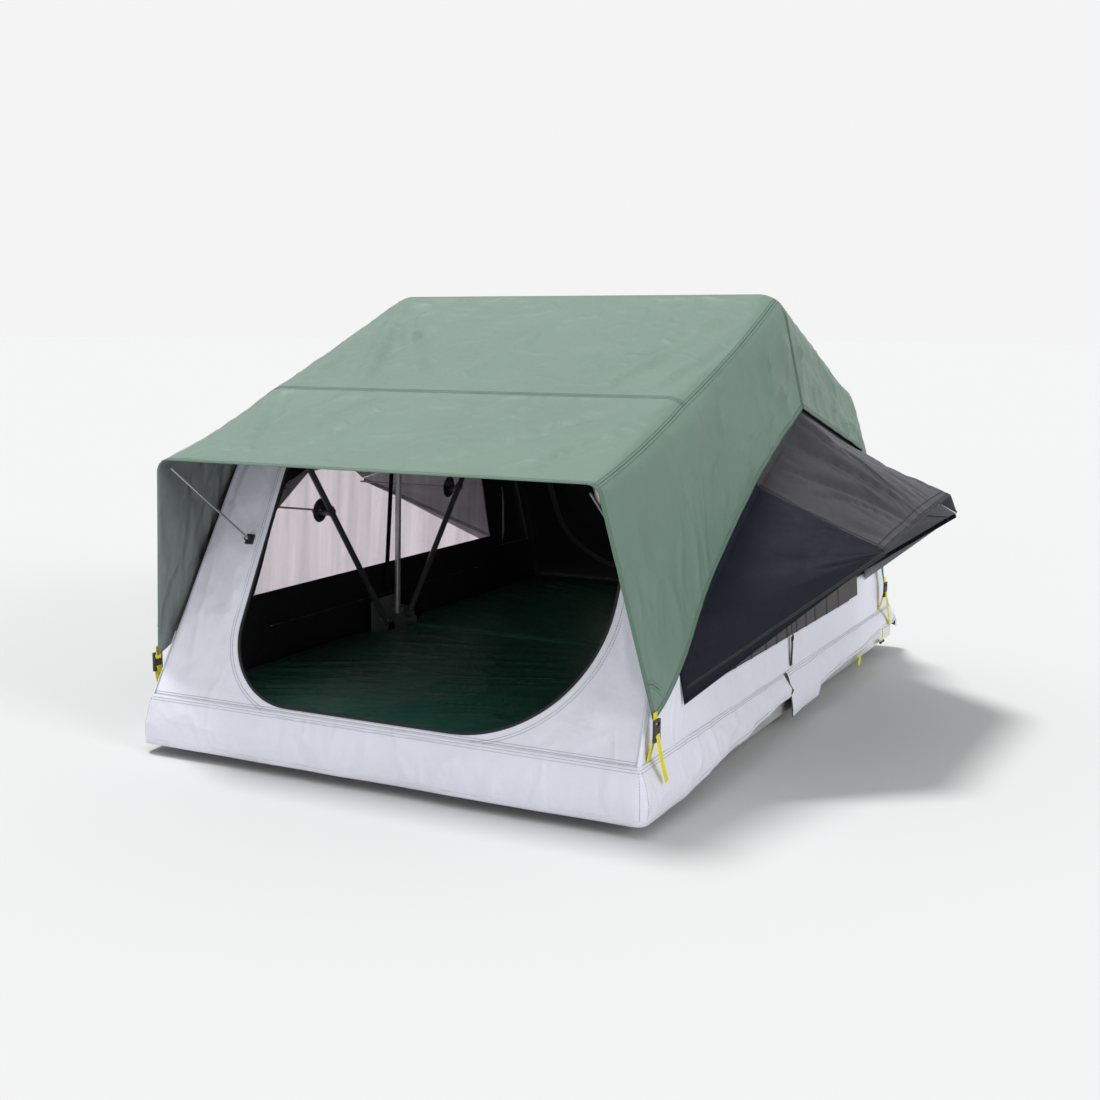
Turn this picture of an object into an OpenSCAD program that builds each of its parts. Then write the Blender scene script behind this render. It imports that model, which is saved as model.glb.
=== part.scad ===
// Roof top tent, opened out: two base halves hinged together, three folding bows, a walled inner
// tent, a flysheet with a front canopy, and an awning propped out on each side.
// +Z is up, the door faces -Y, and the origin is on the ground under the middle of the tent.

/* [Base] */
// Width of the base
base_width = 1416; // [1300:2:1600]
// Length of one base half, from the hinge line to its outer end
base_length = 1099; // [1040:1:1250]
// Thickness of the base boards and their edge frame
panel_thickness = 45; // [35:1:60]
// Width of the edge frame
frame_width = 25; // [15:1:40]
// Gap between the two halves at the hinge line
half_gap = 6; // [4:1:12]

/* [Rails] */
// Height of the rails under the base
rail_height = 45; // [35:1:60]
// Width of a rail
rail_width = 40; // [30:1:60]
// Wall of a rail
rail_wall = 3; // [2:0.5:5]
// Distance between the two rails of a half
rail_spacing = 900; // [700:10:1100]
// Distance from each end of a half to its rails
rail_inset = 60; // [40:5:120]
// Thickness of the rails' end caps
cap_thickness = 5; // [3:0.5:8]
// Diameter of the bolt holes in the mounting rails
bolt_hole = 8.5; // [6.5:0.5:12.5]
// Distance between the bolt holes along a rail
bolt_spacing = 600; // [400:10:800]

/* [Mattress] */
// Height of the mattress at its crown
mattress_height = 70; // [50:1:80]
// Gap between the mattress and the side walls
mattress_gap = 15; // [8:1:30]
// How far the sides of the mattress draw in between its corners
mattress_draw = 8; // [0:1:20]

/* [Hinge] */
// Thickness of the hinge plates
plate_thickness = 5; // [3:0.5:8]
// Diameter of the hinge and pivot pins
pin_d = 10; // [8:0.5:12]
// Distance from the hinge line to the pivots of the front and rear bows
pivot_offset = 70; // [60:1:90]
// Length of a hinge plate along the base
plate_length = 120; // [110:1:160]

/* [Bows] */
// Diameter of the bow tubes
tube_d = 19; // [16:1:22]
// Lean of the front and rear bows from upright, in degrees
bow_lean = 38; // [35:0.5:41]
// Length of the front and rear bows from pivot to cross bar
bow_length = 965; // [920:5:990]
// Length of the centre bow from the hinge pin to its cross bar
ridge_length = 996; // [950:2:1040]
// Radius of the bends at the top of a bow
bend_radius = 70; // [50:1:100]
// Distance from the side wall seam to the foot of a bow leg
leg_clearance = 55; // [50:1:70]
// How far the legs lean in at the top
leg_lean_in = 23; // [15:1:30]

/* [Inner tent] */
// Thickness of every cloth
cloth = 2.4; // [1.6:0.2:3]
// Height of the wall seam above the base
seam_rise = 65; // [60:1:80]
// Distance from the edge of the base in to the wall seam
wall_set_in = 8; // [6:1:14]
// Height of the light lower side walls above the seam
lower_wall_rise = 95; // [85:1:110]
// Extra height of the lower side walls at the corners of the tent
corner_rise = 60; // [30:5:80]
// Length of the raised corners of the lower side walls
corner_length = 391; // [300:1:420]
// Height of the side window's sill above the seam
window_sill = 190; // [170:5:210]
// Half length of the side window at its sill
window_half = 700; // [640:10:710]
// Height of the side window's peak above the seam
window_peak = 685; // [640:5:700]
// Height of the side wall's peak above the seam
side_wall_peak = 875; // [800:5:890]

/* [Door] */
// Distance from the middle to the left edge of the door opening
door_left = 485; // [400:5:520]
// Distance from the middle to the right edge of the door opening
door_right = 560; // [400:5:580]
// Height of the door opening's lower edge above the seam, along the wall
door_sill = 17; // [17:1:60]
// Height of the door opening's upper edge, along the wall
door_head = 790; // [700:5:800]
// Radius of the door opening's upper corners
door_corner = 150; // [80:5:200]
// Radius of the door opening's lower left corner
door_low_left = 210; // [100:5:260]
// Radius of the door opening's lower right corner
door_low_right = 350; // [200:5:400]
// Width of the binding round the openings
binding_width = 10; // [6:1:16]
// Diameter of the rolled up door
door_roll_d = 46; // [36:1:60]

/* [Flysheet] */
// Reach of the canopy in front of the front bow
canopy_reach = 470; // [400:5:500]
// Drop of the canopy from the front bow to its edge
canopy_drop = 168; // [120:2:220]
// Distance from the side wall seam in to the canopy's corners
canopy_set_in = 82; // [60:2:110]
// Sag of the roof between the bows
roof_sag = 14; // [6:1:24]
// Drop from the ridge to the peak of the side cut
side_cut_drop = 302; // [290:2:340]
// Distance from the front wall's seam back to the tips of the front cheeks
tip_set_in = 41; // [20:1:70]
// Height of the cheek tips above the seam
tip_rise = 95; // [85:1:110]
// Distance from the rear wall's seam in to the tips of the rear corners
rear_tip_set_in = 136; // [100:2:170]
// Length of the flysheet down the rear slope
rear_drop = 350; // [250:10:450]

/* [Awnings] */
// Reach of an awning beyond the side wall seam
awning_reach = 362; // [300:2:420]
// Half length of an awning's outer edge
awning_half = 413; // [390:1:440]
// Height of the outer edge above the seam
awning_rise = 422; // [400:2:440]
// Height by which the awning's top is pulled up near its rear corner
awning_lift = 66; // [0:2:80]
// Distance from the hinge line to an awning's feet
awning_foot = 796; // [760:2:820]
// Diameter of the prop rods
rod_d = 6; // [4:0.5:8]
// Distance from the door opening out to the canopy rods' wall clips
clip_margin = 47; // [30:1:60]
// Height of the canopy rods' wall clips above the seam, along the wall
clip_rise = 450; // [420:5:480]

/* [Skirt] */
// Drop of the skirt from the seam to its hem
skirt_drop = 128; // [110:2:140]
// How far the skirt stands out over the edge of the base
skirt_bulge = 25; // [20:1:34]
// Depth of the folds at the hem
skirt_fold = 5; // [0:0.5:8]
// Distance from the hinge line to the slit in the skirt
slit_offset = 85; // [75:1:110]

/* [Straps] */
// Width of the tie down webbing
webbing_width = 20; // [15:1:25]
// Thickness of the tie down webbing
webbing = 1.6; // [1.2:0.2:2.4]
// Length of a tie down hook
hook_length = 50; // [40:1:60]
// Length of the window zip pulls
pull_length = 86; // [60:2:90]
// Width of a window zip pull
pull_width = 16; // [10:1:22]

/* [Hidden] */
$fn = 48;

// Clearances
seat = 0.3;
running = 0.05;
joint_gap = 1.5;

// Heights
panel_top = rail_height + panel_thickness;
seam_z = panel_top + seam_rise;
bow_pitch = tube_d + 6;
pivot_z = panel_top + mattress_height + tube_d / 2 + 8.5;
hinge_z = pivot_z + bow_pitch;

// Plan
half_width = base_width / 2;
wall_x = half_width - wall_set_in;
wall_y = base_length - wall_set_in;
leg_x = wall_x - leg_clearance;
leg_top_x = leg_x - leg_lean_in;
tube_r = tube_d / 2;

// Cross bars of the bows
bow_y = pivot_offset + bow_length * sin(bow_lean);
bow_z = pivot_z + bow_length * cos(bow_lean);
ridge_z = hinge_z + ridge_length;

// Front and rear walls: they pass just outside the cross bars
wall_stand_off = tube_r + seat + cloth / 2;
wall_run = wall_y - bow_y;
wall_climb = bow_z - seam_z;
wall_slope = norm([wall_run, wall_climb]);
wall_angle = atan2(wall_climb, wall_run) + asin(wall_stand_off / wall_slope);
wall_length = sqrt(wall_slope ^ 2 - wall_stand_off ^ 2) - 2;

// Side walls lean in so that they pass outside the bow legs
side_clearance = 13.5;
side_lean = atan((wall_x - leg_top_x - tube_r - side_clearance) / (bow_z - seam_z));
function side_x(z) = wall_x - tan(side_lean) * (z - seam_z);
function side_face(z) = side_x(z) + cloth / 2 / cos(side_lean);

// Distance of the front wall from the hinge line at a height
function wall_reach(z) = wall_y - (z - seam_z) / tan(wall_angle);

// Hinge plates, outward from the bow legs
rear_plate_x = leg_x + tube_r + joint_gap;
front_plate_x = rear_plate_x + plate_thickness + joint_gap;
flange_end = wall_x - 4;
plate_start = 25;
screw_x = (front_plate_x + plate_thickness + flange_end) / 2;

// Flysheet
fly_seat = 0.5;
fly_lift = tube_r + fly_seat + cloth / 2;
apex_z = ridge_z - side_cut_drop;
tip_z = seam_z + tip_rise;
tip_reach = wall_y - tip_set_in;
rear_tip_reach = wall_y - rear_tip_set_in;
canopy_y = bow_y + canopy_reach;
canopy_z = bow_z + fly_lift - canopy_drop;
canopy_x = wall_x - canopy_set_in;
apex_x = wall_x + 8;
tip_x = wall_x + 16;

// Awnings
awning_x = wall_x + awning_reach;
awning_z = seam_z + awning_rise;
awning_peak_z = apex_z - 8;
awning_foot_z = seam_z + lower_wall_rise;
rod_z = awning_z - 9;
rod_s = (rod_z - pivot_z) / cos(bow_lean);
rod_y = pivot_offset + rod_s * sin(bow_lean);
rod_pivot_x = side_face(rod_z) + 14;
rod_leg_x = leg_x - leg_lean_in * rod_s / bow_length;

// Point a share of the way from a to b
function mix(a, b, t) = a + (b - a) * t;
// Points of a circular arc
function arc(c, r, from, to, n = 10) = [for (i = [0 : n]) let (a = mix(from, to, i / n)) c + r * [cos(a), sin(a)]];
function flip_x(p) = [-p[0], p[1], p[2]];
function backwards(list) = [for (i = [len(list) - 1 : -1 : 0]) list[i]];
// Full row of a symmetric sheet from its right half, which ends on the middle
function whole_row(right) = concat(right, [for (i = [len(right) - 2 : -1 : 0]) flip_x(right[i])]);

function clamped(rows, i, j) =
    rows[max(0, min(len(rows) - 1, i))][max(0, min(len(rows[0]) - 1, j))];
function sheet_normal(rows, i, j) =
    let (n = cross(clamped(rows, i + 1, j) - clamped(rows, i - 1, j),
                   clamped(rows, i, j + 1) - clamped(rows, i, j - 1)))
    n / norm(n);
function sheet_points(rows, half) = [
    for (i = [0 : len(rows) - 1]) for (j = [0 : len(rows[0]) - 1])
        rows[i][j] + half * sheet_normal(rows, i, j)
];
function two(a, b, c, d) = [[a, b, c], [a, c, d]];

// Closed solid of one cloth thickness round a grid of points
module sheet(rows, thickness = cloth) {
    n = len(rows);
    m = len(rows[0]);
    total = n * m;
    top = [for (i = [0 : n - 2]) for (j = [0 : m - 2]) let (p = i * m + j)
        each two(p, p + 1, p + m + 1, p + m)];
    bottom = [for (f = top) [f[0] + total, f[2] + total, f[1] + total]];
    ends = [for (j = [0 : m - 2]) let (p = j, q = (n - 1) * m + j)
        each concat(two(p + 1, p, p + total, p + 1 + total),
                    two(q, q + 1, q + 1 + total, q + total))];
    sides = [for (i = [0 : n - 2]) let (p = i * m, q = i * m + m - 1)
        each concat(two(p, p + m, p + m + total, p + total),
                    two(q + m, q, q + total, q + m + total))];
    polyhedron(points = concat(sheet_points(rows, thickness / 2), sheet_points(rows, -thickness / 2)),
        faces = concat(top, bottom, ends, sides), convexity = 8);
}

module both_sides() {
    children();
    mirror([1, 0, 0]) children();
}

module front_half() {
    mirror([0, 1, 0]) children();
}

// Straight round bar from a to b
module bar(a, b, d) {
    v = b - a;
    translate(a) rotate([0, acos(v[2] / norm(v)), atan2(v[1], v[0])]) cylinder(d = d, h = norm(v));
}

// Base

module base_panel() {
    inner = half_width - frame_width - seat;
    translate([-inner, half_gap / 2, rail_height])
        cube([2 * inner, base_length - frame_width - seat - half_gap / 2, panel_thickness]);
}

module edge_frame() {
    difference() {
        translate([-half_width, half_gap / 2, rail_height])
            cube([base_width, base_length - half_gap / 2, panel_thickness]);
        translate([frame_width - half_width, -1, rail_height - 1])
            cube([base_width - 2 * frame_width, base_length - frame_width + 1, panel_thickness + 2]);
    }
}

rail_start = half_gap / 2 + rail_inset;
rail_length = base_length - rail_inset - rail_start;
bolt_middle = rail_start + rail_length / 2;

module rail_pair(bolted) {
    for (side = [-1, 1]) translate([side * rail_spacing / 2, 0, 0]) difference() {
        translate([-rail_width / 2, rail_start, 0]) cube([rail_width, rail_length, rail_height]);
        translate([rail_wall - rail_width / 2, rail_start - 1, rail_wall])
            cube([rail_width - 2 * rail_wall, rail_length + 2, rail_height]);
        if (bolted) for (along = [-1, 1]) translate([0, bolt_middle + along * bolt_spacing / 2, -1])
            cylinder(d = bolt_hole, h = rail_wall + 2);
    }
}

module rail_caps() {
    for (side = [-1, 1]) for (y = [rail_start - cap_thickness, rail_start + rail_length])
        translate([side * rail_spacing / 2 - rail_width / 2, y, 0])
            cube([rail_width, cap_thickness, rail_height]);
}

// Mattress: rings of one outline, with a notch at each end of the hinge line
notch_x = leg_x - tube_r - 15;
notch_y = plate_length + 30;
mattress_x = wall_x - mattress_gap;
mattress_start = half_gap / 2 + 3;
mattress_end = base_length - wall_set_in - mattress_gap;
mattress_middle = [0, (mattress_start + mattress_end) / 2];
function drawn_edge(a, b, n, draw) =
    let (along = (b - a) / norm(b - a), inward = [-along[1], along[0]])
    [for (i = [0 : n - 1]) let (t = i / n) mix(a, b, t) + inward * draw * 4 * t * (1 - t)];
mattress_outline = concat(
    drawn_edge([-notch_x, mattress_start], [notch_x, mattress_start], 12, 0),
    drawn_edge([notch_x, mattress_start], [notch_x, notch_y], 2, 0),
    drawn_edge([notch_x, notch_y], [mattress_x, notch_y], 1, 0),
    drawn_edge([mattress_x, notch_y], [mattress_x, mattress_end], 8, mattress_draw),
    drawn_edge([mattress_x, mattress_end], [-mattress_x, mattress_end], 12, mattress_draw),
    drawn_edge([-mattress_x, mattress_end], [-mattress_x, notch_y], 8, mattress_draw),
    drawn_edge([-mattress_x, notch_y], [-notch_x, notch_y], 1, 0),
    drawn_edge([-notch_x, notch_y], [-notch_x, mattress_start], 2, 0)
);
// Each ring: share of the height, share of the plan
mattress_rings = [[0, 0.985], [0.2, 0.997], [0.5, 1], [0.78, 0.99], [0.91, 0.965], [0.97, 0.88], [1, 0.55]];

module mattress() {
    m = len(mattress_outline);
    n = len(mattress_rings);
    rings = [for (ring = mattress_rings) for (p = mattress_outline)
        let (q = mix(mattress_middle, p, ring[1])) [q[0], q[1], panel_top + ring[0] * mattress_height]];
    middles = [[0, mattress_middle[1], panel_top], [0, mattress_middle[1], panel_top + mattress_height]];
    walls = [for (k = [0 : n - 2]) for (j = [0 : m - 1]) let (p = k * m + j, q = k * m + (j + 1) % m)
        each two(p, p + m, q + m, q)];
    floor_fan = [for (j = [0 : m - 1]) [n * m, j, (j + 1) % m]];
    crown_fan = [for (j = [0 : m - 1]) [n * m + 1, (n - 1) * m + (j + 1) % m, (n - 1) * m + j]];
    polyhedron(points = concat(rings, middles), faces = concat(walls, floor_fan, crown_fan), convexity = 6);
}

// Hinge plates. Each outline is along the base and up, with the hinge eye at the hinge pin.
eye_r = pin_d + 10;
rear_plate_outline = [
    [plate_start, panel_top], [plate_length + 15, panel_top], [plate_length + 15, pivot_z - 28],
    [pivot_offset + 22, pivot_z + 18], [14, hinge_z + eye_r - 3], [-10, hinge_z - eye_r + 3],
];
front_plate_outline = [
    [-plate_length, panel_top], [-plate_start, panel_top], [-plate_start, hinge_z - 50],
    [30, hinge_z - 28], [30, hinge_z + 37], [22, hinge_z + 45],
    [10 - plate_length, hinge_z + 45], [-plate_length, hinge_z + 35],
];

pin_hole = pin_d + 2 * running;
module hinge_plate(outline, x, pivot) {
    translate([x, 0, 0]) rotate([90, 0, 90]) linear_extrude(plate_thickness) difference() {
        union() {
            polygon(outline);
            translate([0, hinge_z]) circle(r = eye_r);
        }
        translate([0, hinge_z]) circle(d = pin_hole);
        translate([pivot, pivot_z]) circle(d = pin_hole);
    }
    foot = [min([for (p = outline) if (p[1] == panel_top) p[0]]), max([for (p = outline) if (p[1] == panel_top) p[0]])];
    translate([x, foot[0], panel_top])
        cube([flange_end - x, foot[1] - foot[0], plate_thickness]);
}

screw_d = 12;
screw_head = 4;
module hinge_screws() {
    both_sides() for (y = [plate_start + 20, plate_length - 15])
        translate([screw_x, y, panel_top + plate_thickness]) cylinder(d = screw_d, h = screw_head);
}

// Pins along X: a head inside the bow leg, and the shank out to an end
pin_head = 5.5;
pin_in = leg_x - tube_r - 1 - pin_head;
module pin_pair(y, z, x_end) {
    both_sides() translate([pin_in, y, z]) rotate([0, 90, 0]) {
        cylinder(d = pin_d + 8, h = pin_head);
        cylinder(d = pin_d, h = x_end - pin_in);
    }
}

// Bows, in the plane of X and up, with the pivot at the origin. The bends are sleeved over the tube ends.
sleeve = 0.3;
sleeve_overlap = 3;
module bow(length) {
    lean_in = atan(leg_lean_in / length);
    tangent = bend_radius * tan((90 - lean_in) / 2);
    up_leg = [-sin(lean_in), 0, cos(lean_in)];
    leg_end = [leg_top_x, 0, length] - (tangent - sleeve_overlap) * up_leg;
    foot = [leg_x, 0, 0] - 14 * up_leg;
    bend_middle = [leg_top_x - tangent, 0, length - bend_radius];
    bar_end = bend_middle[0] + sleeve_overlap;
    difference() {
        union() {
            both_sides() {
                bar(foot, leg_end, tube_d);
                translate(bend_middle) rotate([90, 0, 0]) rotate([0, 0, lean_in])
                    rotate_extrude(angle = 90 - lean_in) translate([bend_radius, 0]) circle(d = tube_d + sleeve);
            }
            bar([-bar_end, 0, length], [bar_end, 0, length], tube_d);
        }
        both_sides() translate([leg_x - tube_d, 0, 0]) rotate([0, 90, 0])
            cylinder(d = pin_hole, h = 2 * tube_d);
    }
}

// Places children on the leg of the rear bow where an awning rod is held, Z along the leg
module at_rod(side) {
    mirror([side < 0 ? 1 : 0, 0, 0]) translate([0, rod_y, rod_z]) rotate([-bow_lean, 0, 0]) children();
}

bracket_arm = 8;
bracket_ring = 4;
module rod_bracket() {
    difference() {
        union() {
            translate([rod_leg_x, 0, -9]) cylinder(d = tube_d + 2 * bracket_ring, h = 18);
            translate([rod_leg_x + tube_r + 1, rod_d / 2 + seat + 3, -7])
                cube([rod_pivot_x - rod_leg_x - tube_r + 6, bracket_arm, 14]);
            translate([rod_leg_x, 0, -7]) cube([tube_r + 8, rod_d / 2 + seat + 3 + bracket_arm, 14]);
        }
        translate([rod_leg_x, 0, -10]) cylinder(d = tube_d + 2 * seat, h = 20);
    }
    translate([rod_pivot_x, -6, 0]) rotate([-90, 0, 0]) cylinder(d = 4, h = rod_d / 2 + 16);
}

module awning_rod() {
    difference() {
        union() {
            translate([rod_pivot_x, -rod_d / 2 - 2, 0]) rotate([-90, 0, 0]) cylinder(d = 12, h = rod_d + 4);
            bar([rod_pivot_x, 0, 0], [awning_x - 20, 0, 0], rod_d);
        }
        translate([rod_pivot_x, -10, 0]) rotate([-90, 0, 0]) cylinder(d = 4 + 2 * running, h = 20);
    }
}

// Front and rear walls: the outline is across the tent and up along the wall from the seam
module on_wall() {
    translate([0, -wall_y, seam_z]) rotate([wall_angle, 0, 0]) children();
}

function wall_half(s) = side_x(seam_z + s * sin(wall_angle)) - cloth - 2 * seat;
wall_head_half = leg_top_x - bend_radius;
wall_shoulder = wall_length - bend_radius - 30;
wall_shoulder_half = wall_half(wall_shoulder) - 6;
wall_outline = [
    [-wall_half(0), 0], [wall_half(0), 0], [wall_shoulder_half, wall_shoulder],
    [wall_head_half, wall_length], [-wall_head_half, wall_length], [-wall_shoulder_half, wall_shoulder],
];
function opening(left, right, low, high, r, low_left, low_right) = concat(
    arc([left + low_left, low + low_left], low_left, 180, 270),
    arc([right - low_right, low + low_right], low_right, 270, 360),
    arc([right - r, high - r], r, 0, 90), arc([left + r, high - r], r, 90, 180)
);
function door_outline(grow) = opening(-door_left - grow, door_right + grow, door_sill - grow,
    door_head + grow, door_corner + grow, door_low_left + grow, door_low_right + grow);
rear_window_half = 360;
rear_window_low = 330;
rear_window_high = 700;
function rear_window(grow) = opening(-rear_window_half - grow, rear_window_half + grow,
    rear_window_low - grow, rear_window_high + grow, 60 + grow, 60 + grow, 60 + grow);

module wall_slab(outline, hole) {
    linear_extrude(cloth, center = true) difference() {
        polygon(outline);
        polygon(hole);
    }
}

clip_base = 4;
clip_ear = 4;
clip_pin = 4;
clip_lift = cloth / 2 + clip_base + 9;
eye_width = 8;
function clip_x(side) = side < 0 ? -door_left - clip_margin : door_right + clip_margin;
module rod_clip(side) {
    translate([clip_x(side), clip_rise, 0]) {
        translate([-12, -14, cloth / 2]) cube([24, 28, clip_base]);
        for (ear = [-1, 1]) translate([ear * (eye_width / 2 + seat + clip_ear / 2) - clip_ear / 2, -6, cloth / 2])
            cube([clip_ear, 12, clip_lift + 2]);
        translate([-10, 0, clip_lift]) rotate([0, 90, 0]) cylinder(d = clip_pin, h = 20);
    }
}

// Canopy rod from its clip to the corner of the canopy
module canopy_rod(side) {
    root = [clip_x(side), -wall_y + clip_rise * cos(wall_angle) - clip_lift * sin(wall_angle),
        seam_z + clip_rise * sin(wall_angle) + clip_lift * cos(wall_angle)];
    tip = [side * (canopy_x - 30), 18 - canopy_y, canopy_z - 20];
    difference() {
        union() {
            translate(root - [eye_width / 2, 0, 0]) rotate([0, 90, 0]) cylinder(d = 10, h = eye_width);
            bar(root, tip, rod_d);
        }
        translate(root - [20, 0, 0]) rotate([0, 90, 0]) cylinder(d = clip_pin + 2 * running, h = 40);
    }
}

// Side walls, one half of the tent, in the plane of a side wall: along the tent and up from the seam
module on_side(thickness = cloth) {
    translate([wall_x, 0, seam_z]) rotate([0, -side_lean, 0]) rotate([90, 0, 90])
        linear_extrude(thickness, center = true) children();
}

wall_end_gap = cloth + 2;
function wall_edge(rise) = wall_reach(seam_z + rise) - wall_end_gap;
function window_rise(share) = window_sill + share * (window_peak - window_sill);
window_shape = [
    [-20, window_sill], [window_half, window_sill], [window_half - 40, window_rise(0.2)],
    [window_half - 85, window_rise(0.455)], [window_half - 140, window_rise(0.667)],
    [window_half - 400, window_rise(0.84)], [-20, window_peak + 10],
];
side_start = half_gap / 2;
corner_start = wall_y - corner_length;

module lower_wall() {
    on_side() polygon([
        [side_start, seat - seam_rise], [wall_y - wall_end_gap, seat - seam_rise],
        [wall_y - wall_end_gap, 0], [wall_edge(lower_wall_rise + corner_rise), lower_wall_rise + corner_rise],
        [corner_start, lower_wall_rise + corner_rise], [corner_start - 100, lower_wall_rise],
        [side_start, lower_wall_rise],
    ]);
}

shoulder_rise = bow_z - seam_z - bend_radius - 110;
module upper_wall() {
    low = lower_wall_rise + seat;
    on_side() difference() {
        polygon([
            [side_start, low], [corner_start - 100, low], [corner_start, low + corner_rise],
            [wall_edge(low + corner_rise), low + corner_rise],
            [wall_edge(shoulder_rise), shoulder_rise], [side_start, side_wall_peak],
        ]);
        polygon(window_shape);
    }
}

rod_hole = 26;
module side_mesh() {
    on_side(cloth - 1) difference() {
        intersection() {
            offset(delta = -seat) polygon(window_shape);
            translate([side_start, 0]) square([wall_y, side_wall_peak]);
        }
        translate([rod_y, (rod_z - seam_z) / cos(side_lean)]) circle(r = rod_hole);
    }
}

// Ceiling of one half, hung under the cross bars
ceiling_angle = atan((ridge_z - bow_z) / bow_y);
ceiling_half = leg_top_x - bend_radius - 1;
module ceiling() {
    drop = tube_r + seat + cloth / 2;
    length = norm([bow_y, ridge_z - bow_z]);
    translate([0, 0, ridge_z]) rotate([-ceiling_angle, 0, 0]) translate([-ceiling_half, 6, -drop - cloth / 2])
        cube([2 * ceiling_half, length - 6, cloth]);
}

// Flysheet. A row is a right half from the lower edge over the shoulder to the middle.
shoulder_r = bend_radius + fly_lift + 3;
fly_slack = 18;
shoulder_x = leg_top_x - bend_radius + fly_slack;
// The shoulder turns down the way given, back and down.
function fly_row(y, z, shoulder, middle_x, edge, down = [0, 1]) =
    let (rim = [for (a = [15, 40, 65, 90]) let (fall = shoulder * (1 - sin(a)))
        [middle_x + shoulder * cos(a), -y - fall * down[0], z - fall * down[1]]])
    concat([edge, mix(edge, rim[0], 1 / 3), mix(edge, rim[0], 2 / 3)], rim,
           [for (t = [2 / 3, 1 / 3, 0]) [middle_x * t, -y, z]]);

// Shape of the side cut: share of the reach to the tip, share of the drop to the tip
side_cut = [[0, 0], [0.38, 0.28], [0.71, 0.65], [0.8, 0.89], [1, 1]];
ridge_gap = 2;
function cut_edge(f) = [mix(apex_x, tip_x, f), -mix(ridge_gap, tip_reach, f),
    mix(apex_z, tip_z, lookup(f, side_cut))];

roof_tilt = atan((ridge_z - bow_z) / bow_y);
ridge_row = [fly_lift * sin(roof_tilt), ridge_z + fly_lift * cos(roof_tilt)];
bow_row = [bow_y + fly_lift * sin(roof_tilt), bow_z + fly_lift];
function roof_point(t) = mix(ridge_row, bow_row, t) - [0, roof_sag * 4 * t * (1 - t)];
function canopy_point(t) = mix(bow_row, [canopy_y, canopy_z], t);

front_fly_rows = concat(
    [for (t = [0, 0.25, 0.5, 0.75, 1]) let (p = roof_point(t))
        fly_row(p[0], p[1], shoulder_r, shoulder_x, cut_edge(0.6 * t))],
    [for (t = [0.25, 0.5, 0.75, 1]) let (p = canopy_point(t), r = mix(shoulder_r, 50, t))
        fly_row(p[0], p[1], r, mix(shoulder_x, canopy_x - 50, t),
            cut_edge(lookup(t, [[0, 0.6], [0.75, 0.8], [1, 1]])))]
);

// Rear part, drawn towards -Y like the front and mirrored after
rear_edge_drop = 150;
rear_lift = 30;
rear_spread = 36;
rear_tip = [tip_x, -rear_tip_reach, tip_z];
rear_edge = [wall_x, -bow_y, apex_z - rear_edge_drop];
rear_out = wall_stand_off + cloth + 2 * seat;
function rear_point(t) = [bow_y, bow_z] + (rear_out + rear_lift * t) * [sin(wall_angle), cos(wall_angle)]
    + rear_drop * t * [cos(wall_angle), -sin(wall_angle)];
rear_fly_rows = concat(
    [for (t = [0, 0.25, 0.5, 0.75, 1]) let (p = roof_point(t))
        fly_row(p[0], p[1], shoulder_r, shoulder_x, mix([apex_x, -ridge_gap, apex_z], rear_edge, t))],
    [for (t = [0, 1 / 3, 2 / 3, 1]) let (p = rear_point(t))
        fly_row(p[0], p[1], shoulder_r, shoulder_x + rear_spread * t, mix(rear_edge, rear_tip, 0.06 + 0.94 * t),
            [cos(wall_angle), sin(wall_angle)])]
);

module fly(rows) {
    sheet([for (row = rows) whole_row(row)]);
}

// Awning on the right, and its curve of attachment to the side wall
attach_curve = [[0, 0], [0.43, 0.26], [0.7, 0.47], [0.94, 0.73], [1, 1]];
function attach(f, lift = 0) =
    let (z = mix(awning_peak_z, awning_foot_z, lookup(abs(f), attach_curve)) + lift)
    [side_face(z) + seat + cloth / 2, awning_foot * f, z];
crease = 0.43;
// The share of the lift along the wall and along the outer edge, from the front corner to the rear one
attach_lift = [[0, 0], [0.5, 0.8], [0.75, 1], [1, 0]];
outer_lift = [[-1, 0], [0.75, 1], [1, 0]];
wall_share = 0.6;
function awning_outer(u) = [awning_x, awning_half * u, awning_z + awning_lift * lookup(u, outer_lift)];

module awning_top() {
    sheet([for (u = [-1, -0.5, 0, 0.5, 0.75, 1])
        let (a = attach(crease * u, wall_share * awning_lift * lookup(u, attach_lift)), b = awning_outer(u))
        [for (t = [0, 1 / 3, 2 / 3, 1]) mix(a, b, t) - [0, 0, 10 * t * (1 - t)]]]);
}

module awning_cheek() {
    below = [0, 0, -2 * cloth];
    corner = awning_outer(-1) + below;
    sheet([for (f = [1, 0.94, 0.82, 0.7, 0.56, crease])
        let (a = attach(-f) + below * (1 - f) / (1 - crease), b = mix(corner, attach(-f), 0.01 + 0.02 * (1 - f)))
        [for (t = [0, 0.5, 1]) mix(a, b, t)]]);
}

module awning_cheeks() {
    awning_cheek();
    mirror([0, 1, 0]) awning_cheek();
}

// Skirts: stations round the wall seam, each a place and the way out
skirt_corner = 4;
function skirt_side(start, n) = [for (i = [0 : n])
    [[wall_x, mix(start, wall_y - skirt_corner, i / n)], [1, 0]]];
function skirt_bend() = [for (a = [22.5, 45, 67.5])
    [[wall_x - skirt_corner + skirt_corner * cos(a), wall_y - skirt_corner + skirt_corner * sin(a)], [cos(a), sin(a)]]];
function skirt_end(n) = [for (i = [0 : n])
    [[(wall_x - skirt_corner) * (1 - 2 * i / n), wall_y], [0, 1]]];
function flip_station(s) = [[-s[0][0], s[0][1]], [-s[1][0], s[1][1]]];
function skirt_route(side, n) = concat(side, skirt_bend(), skirt_end(n),
    [for (s = backwards(skirt_bend())) flip_station(s)], [for (s = backwards(side)) flip_station(s)]);

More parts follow.
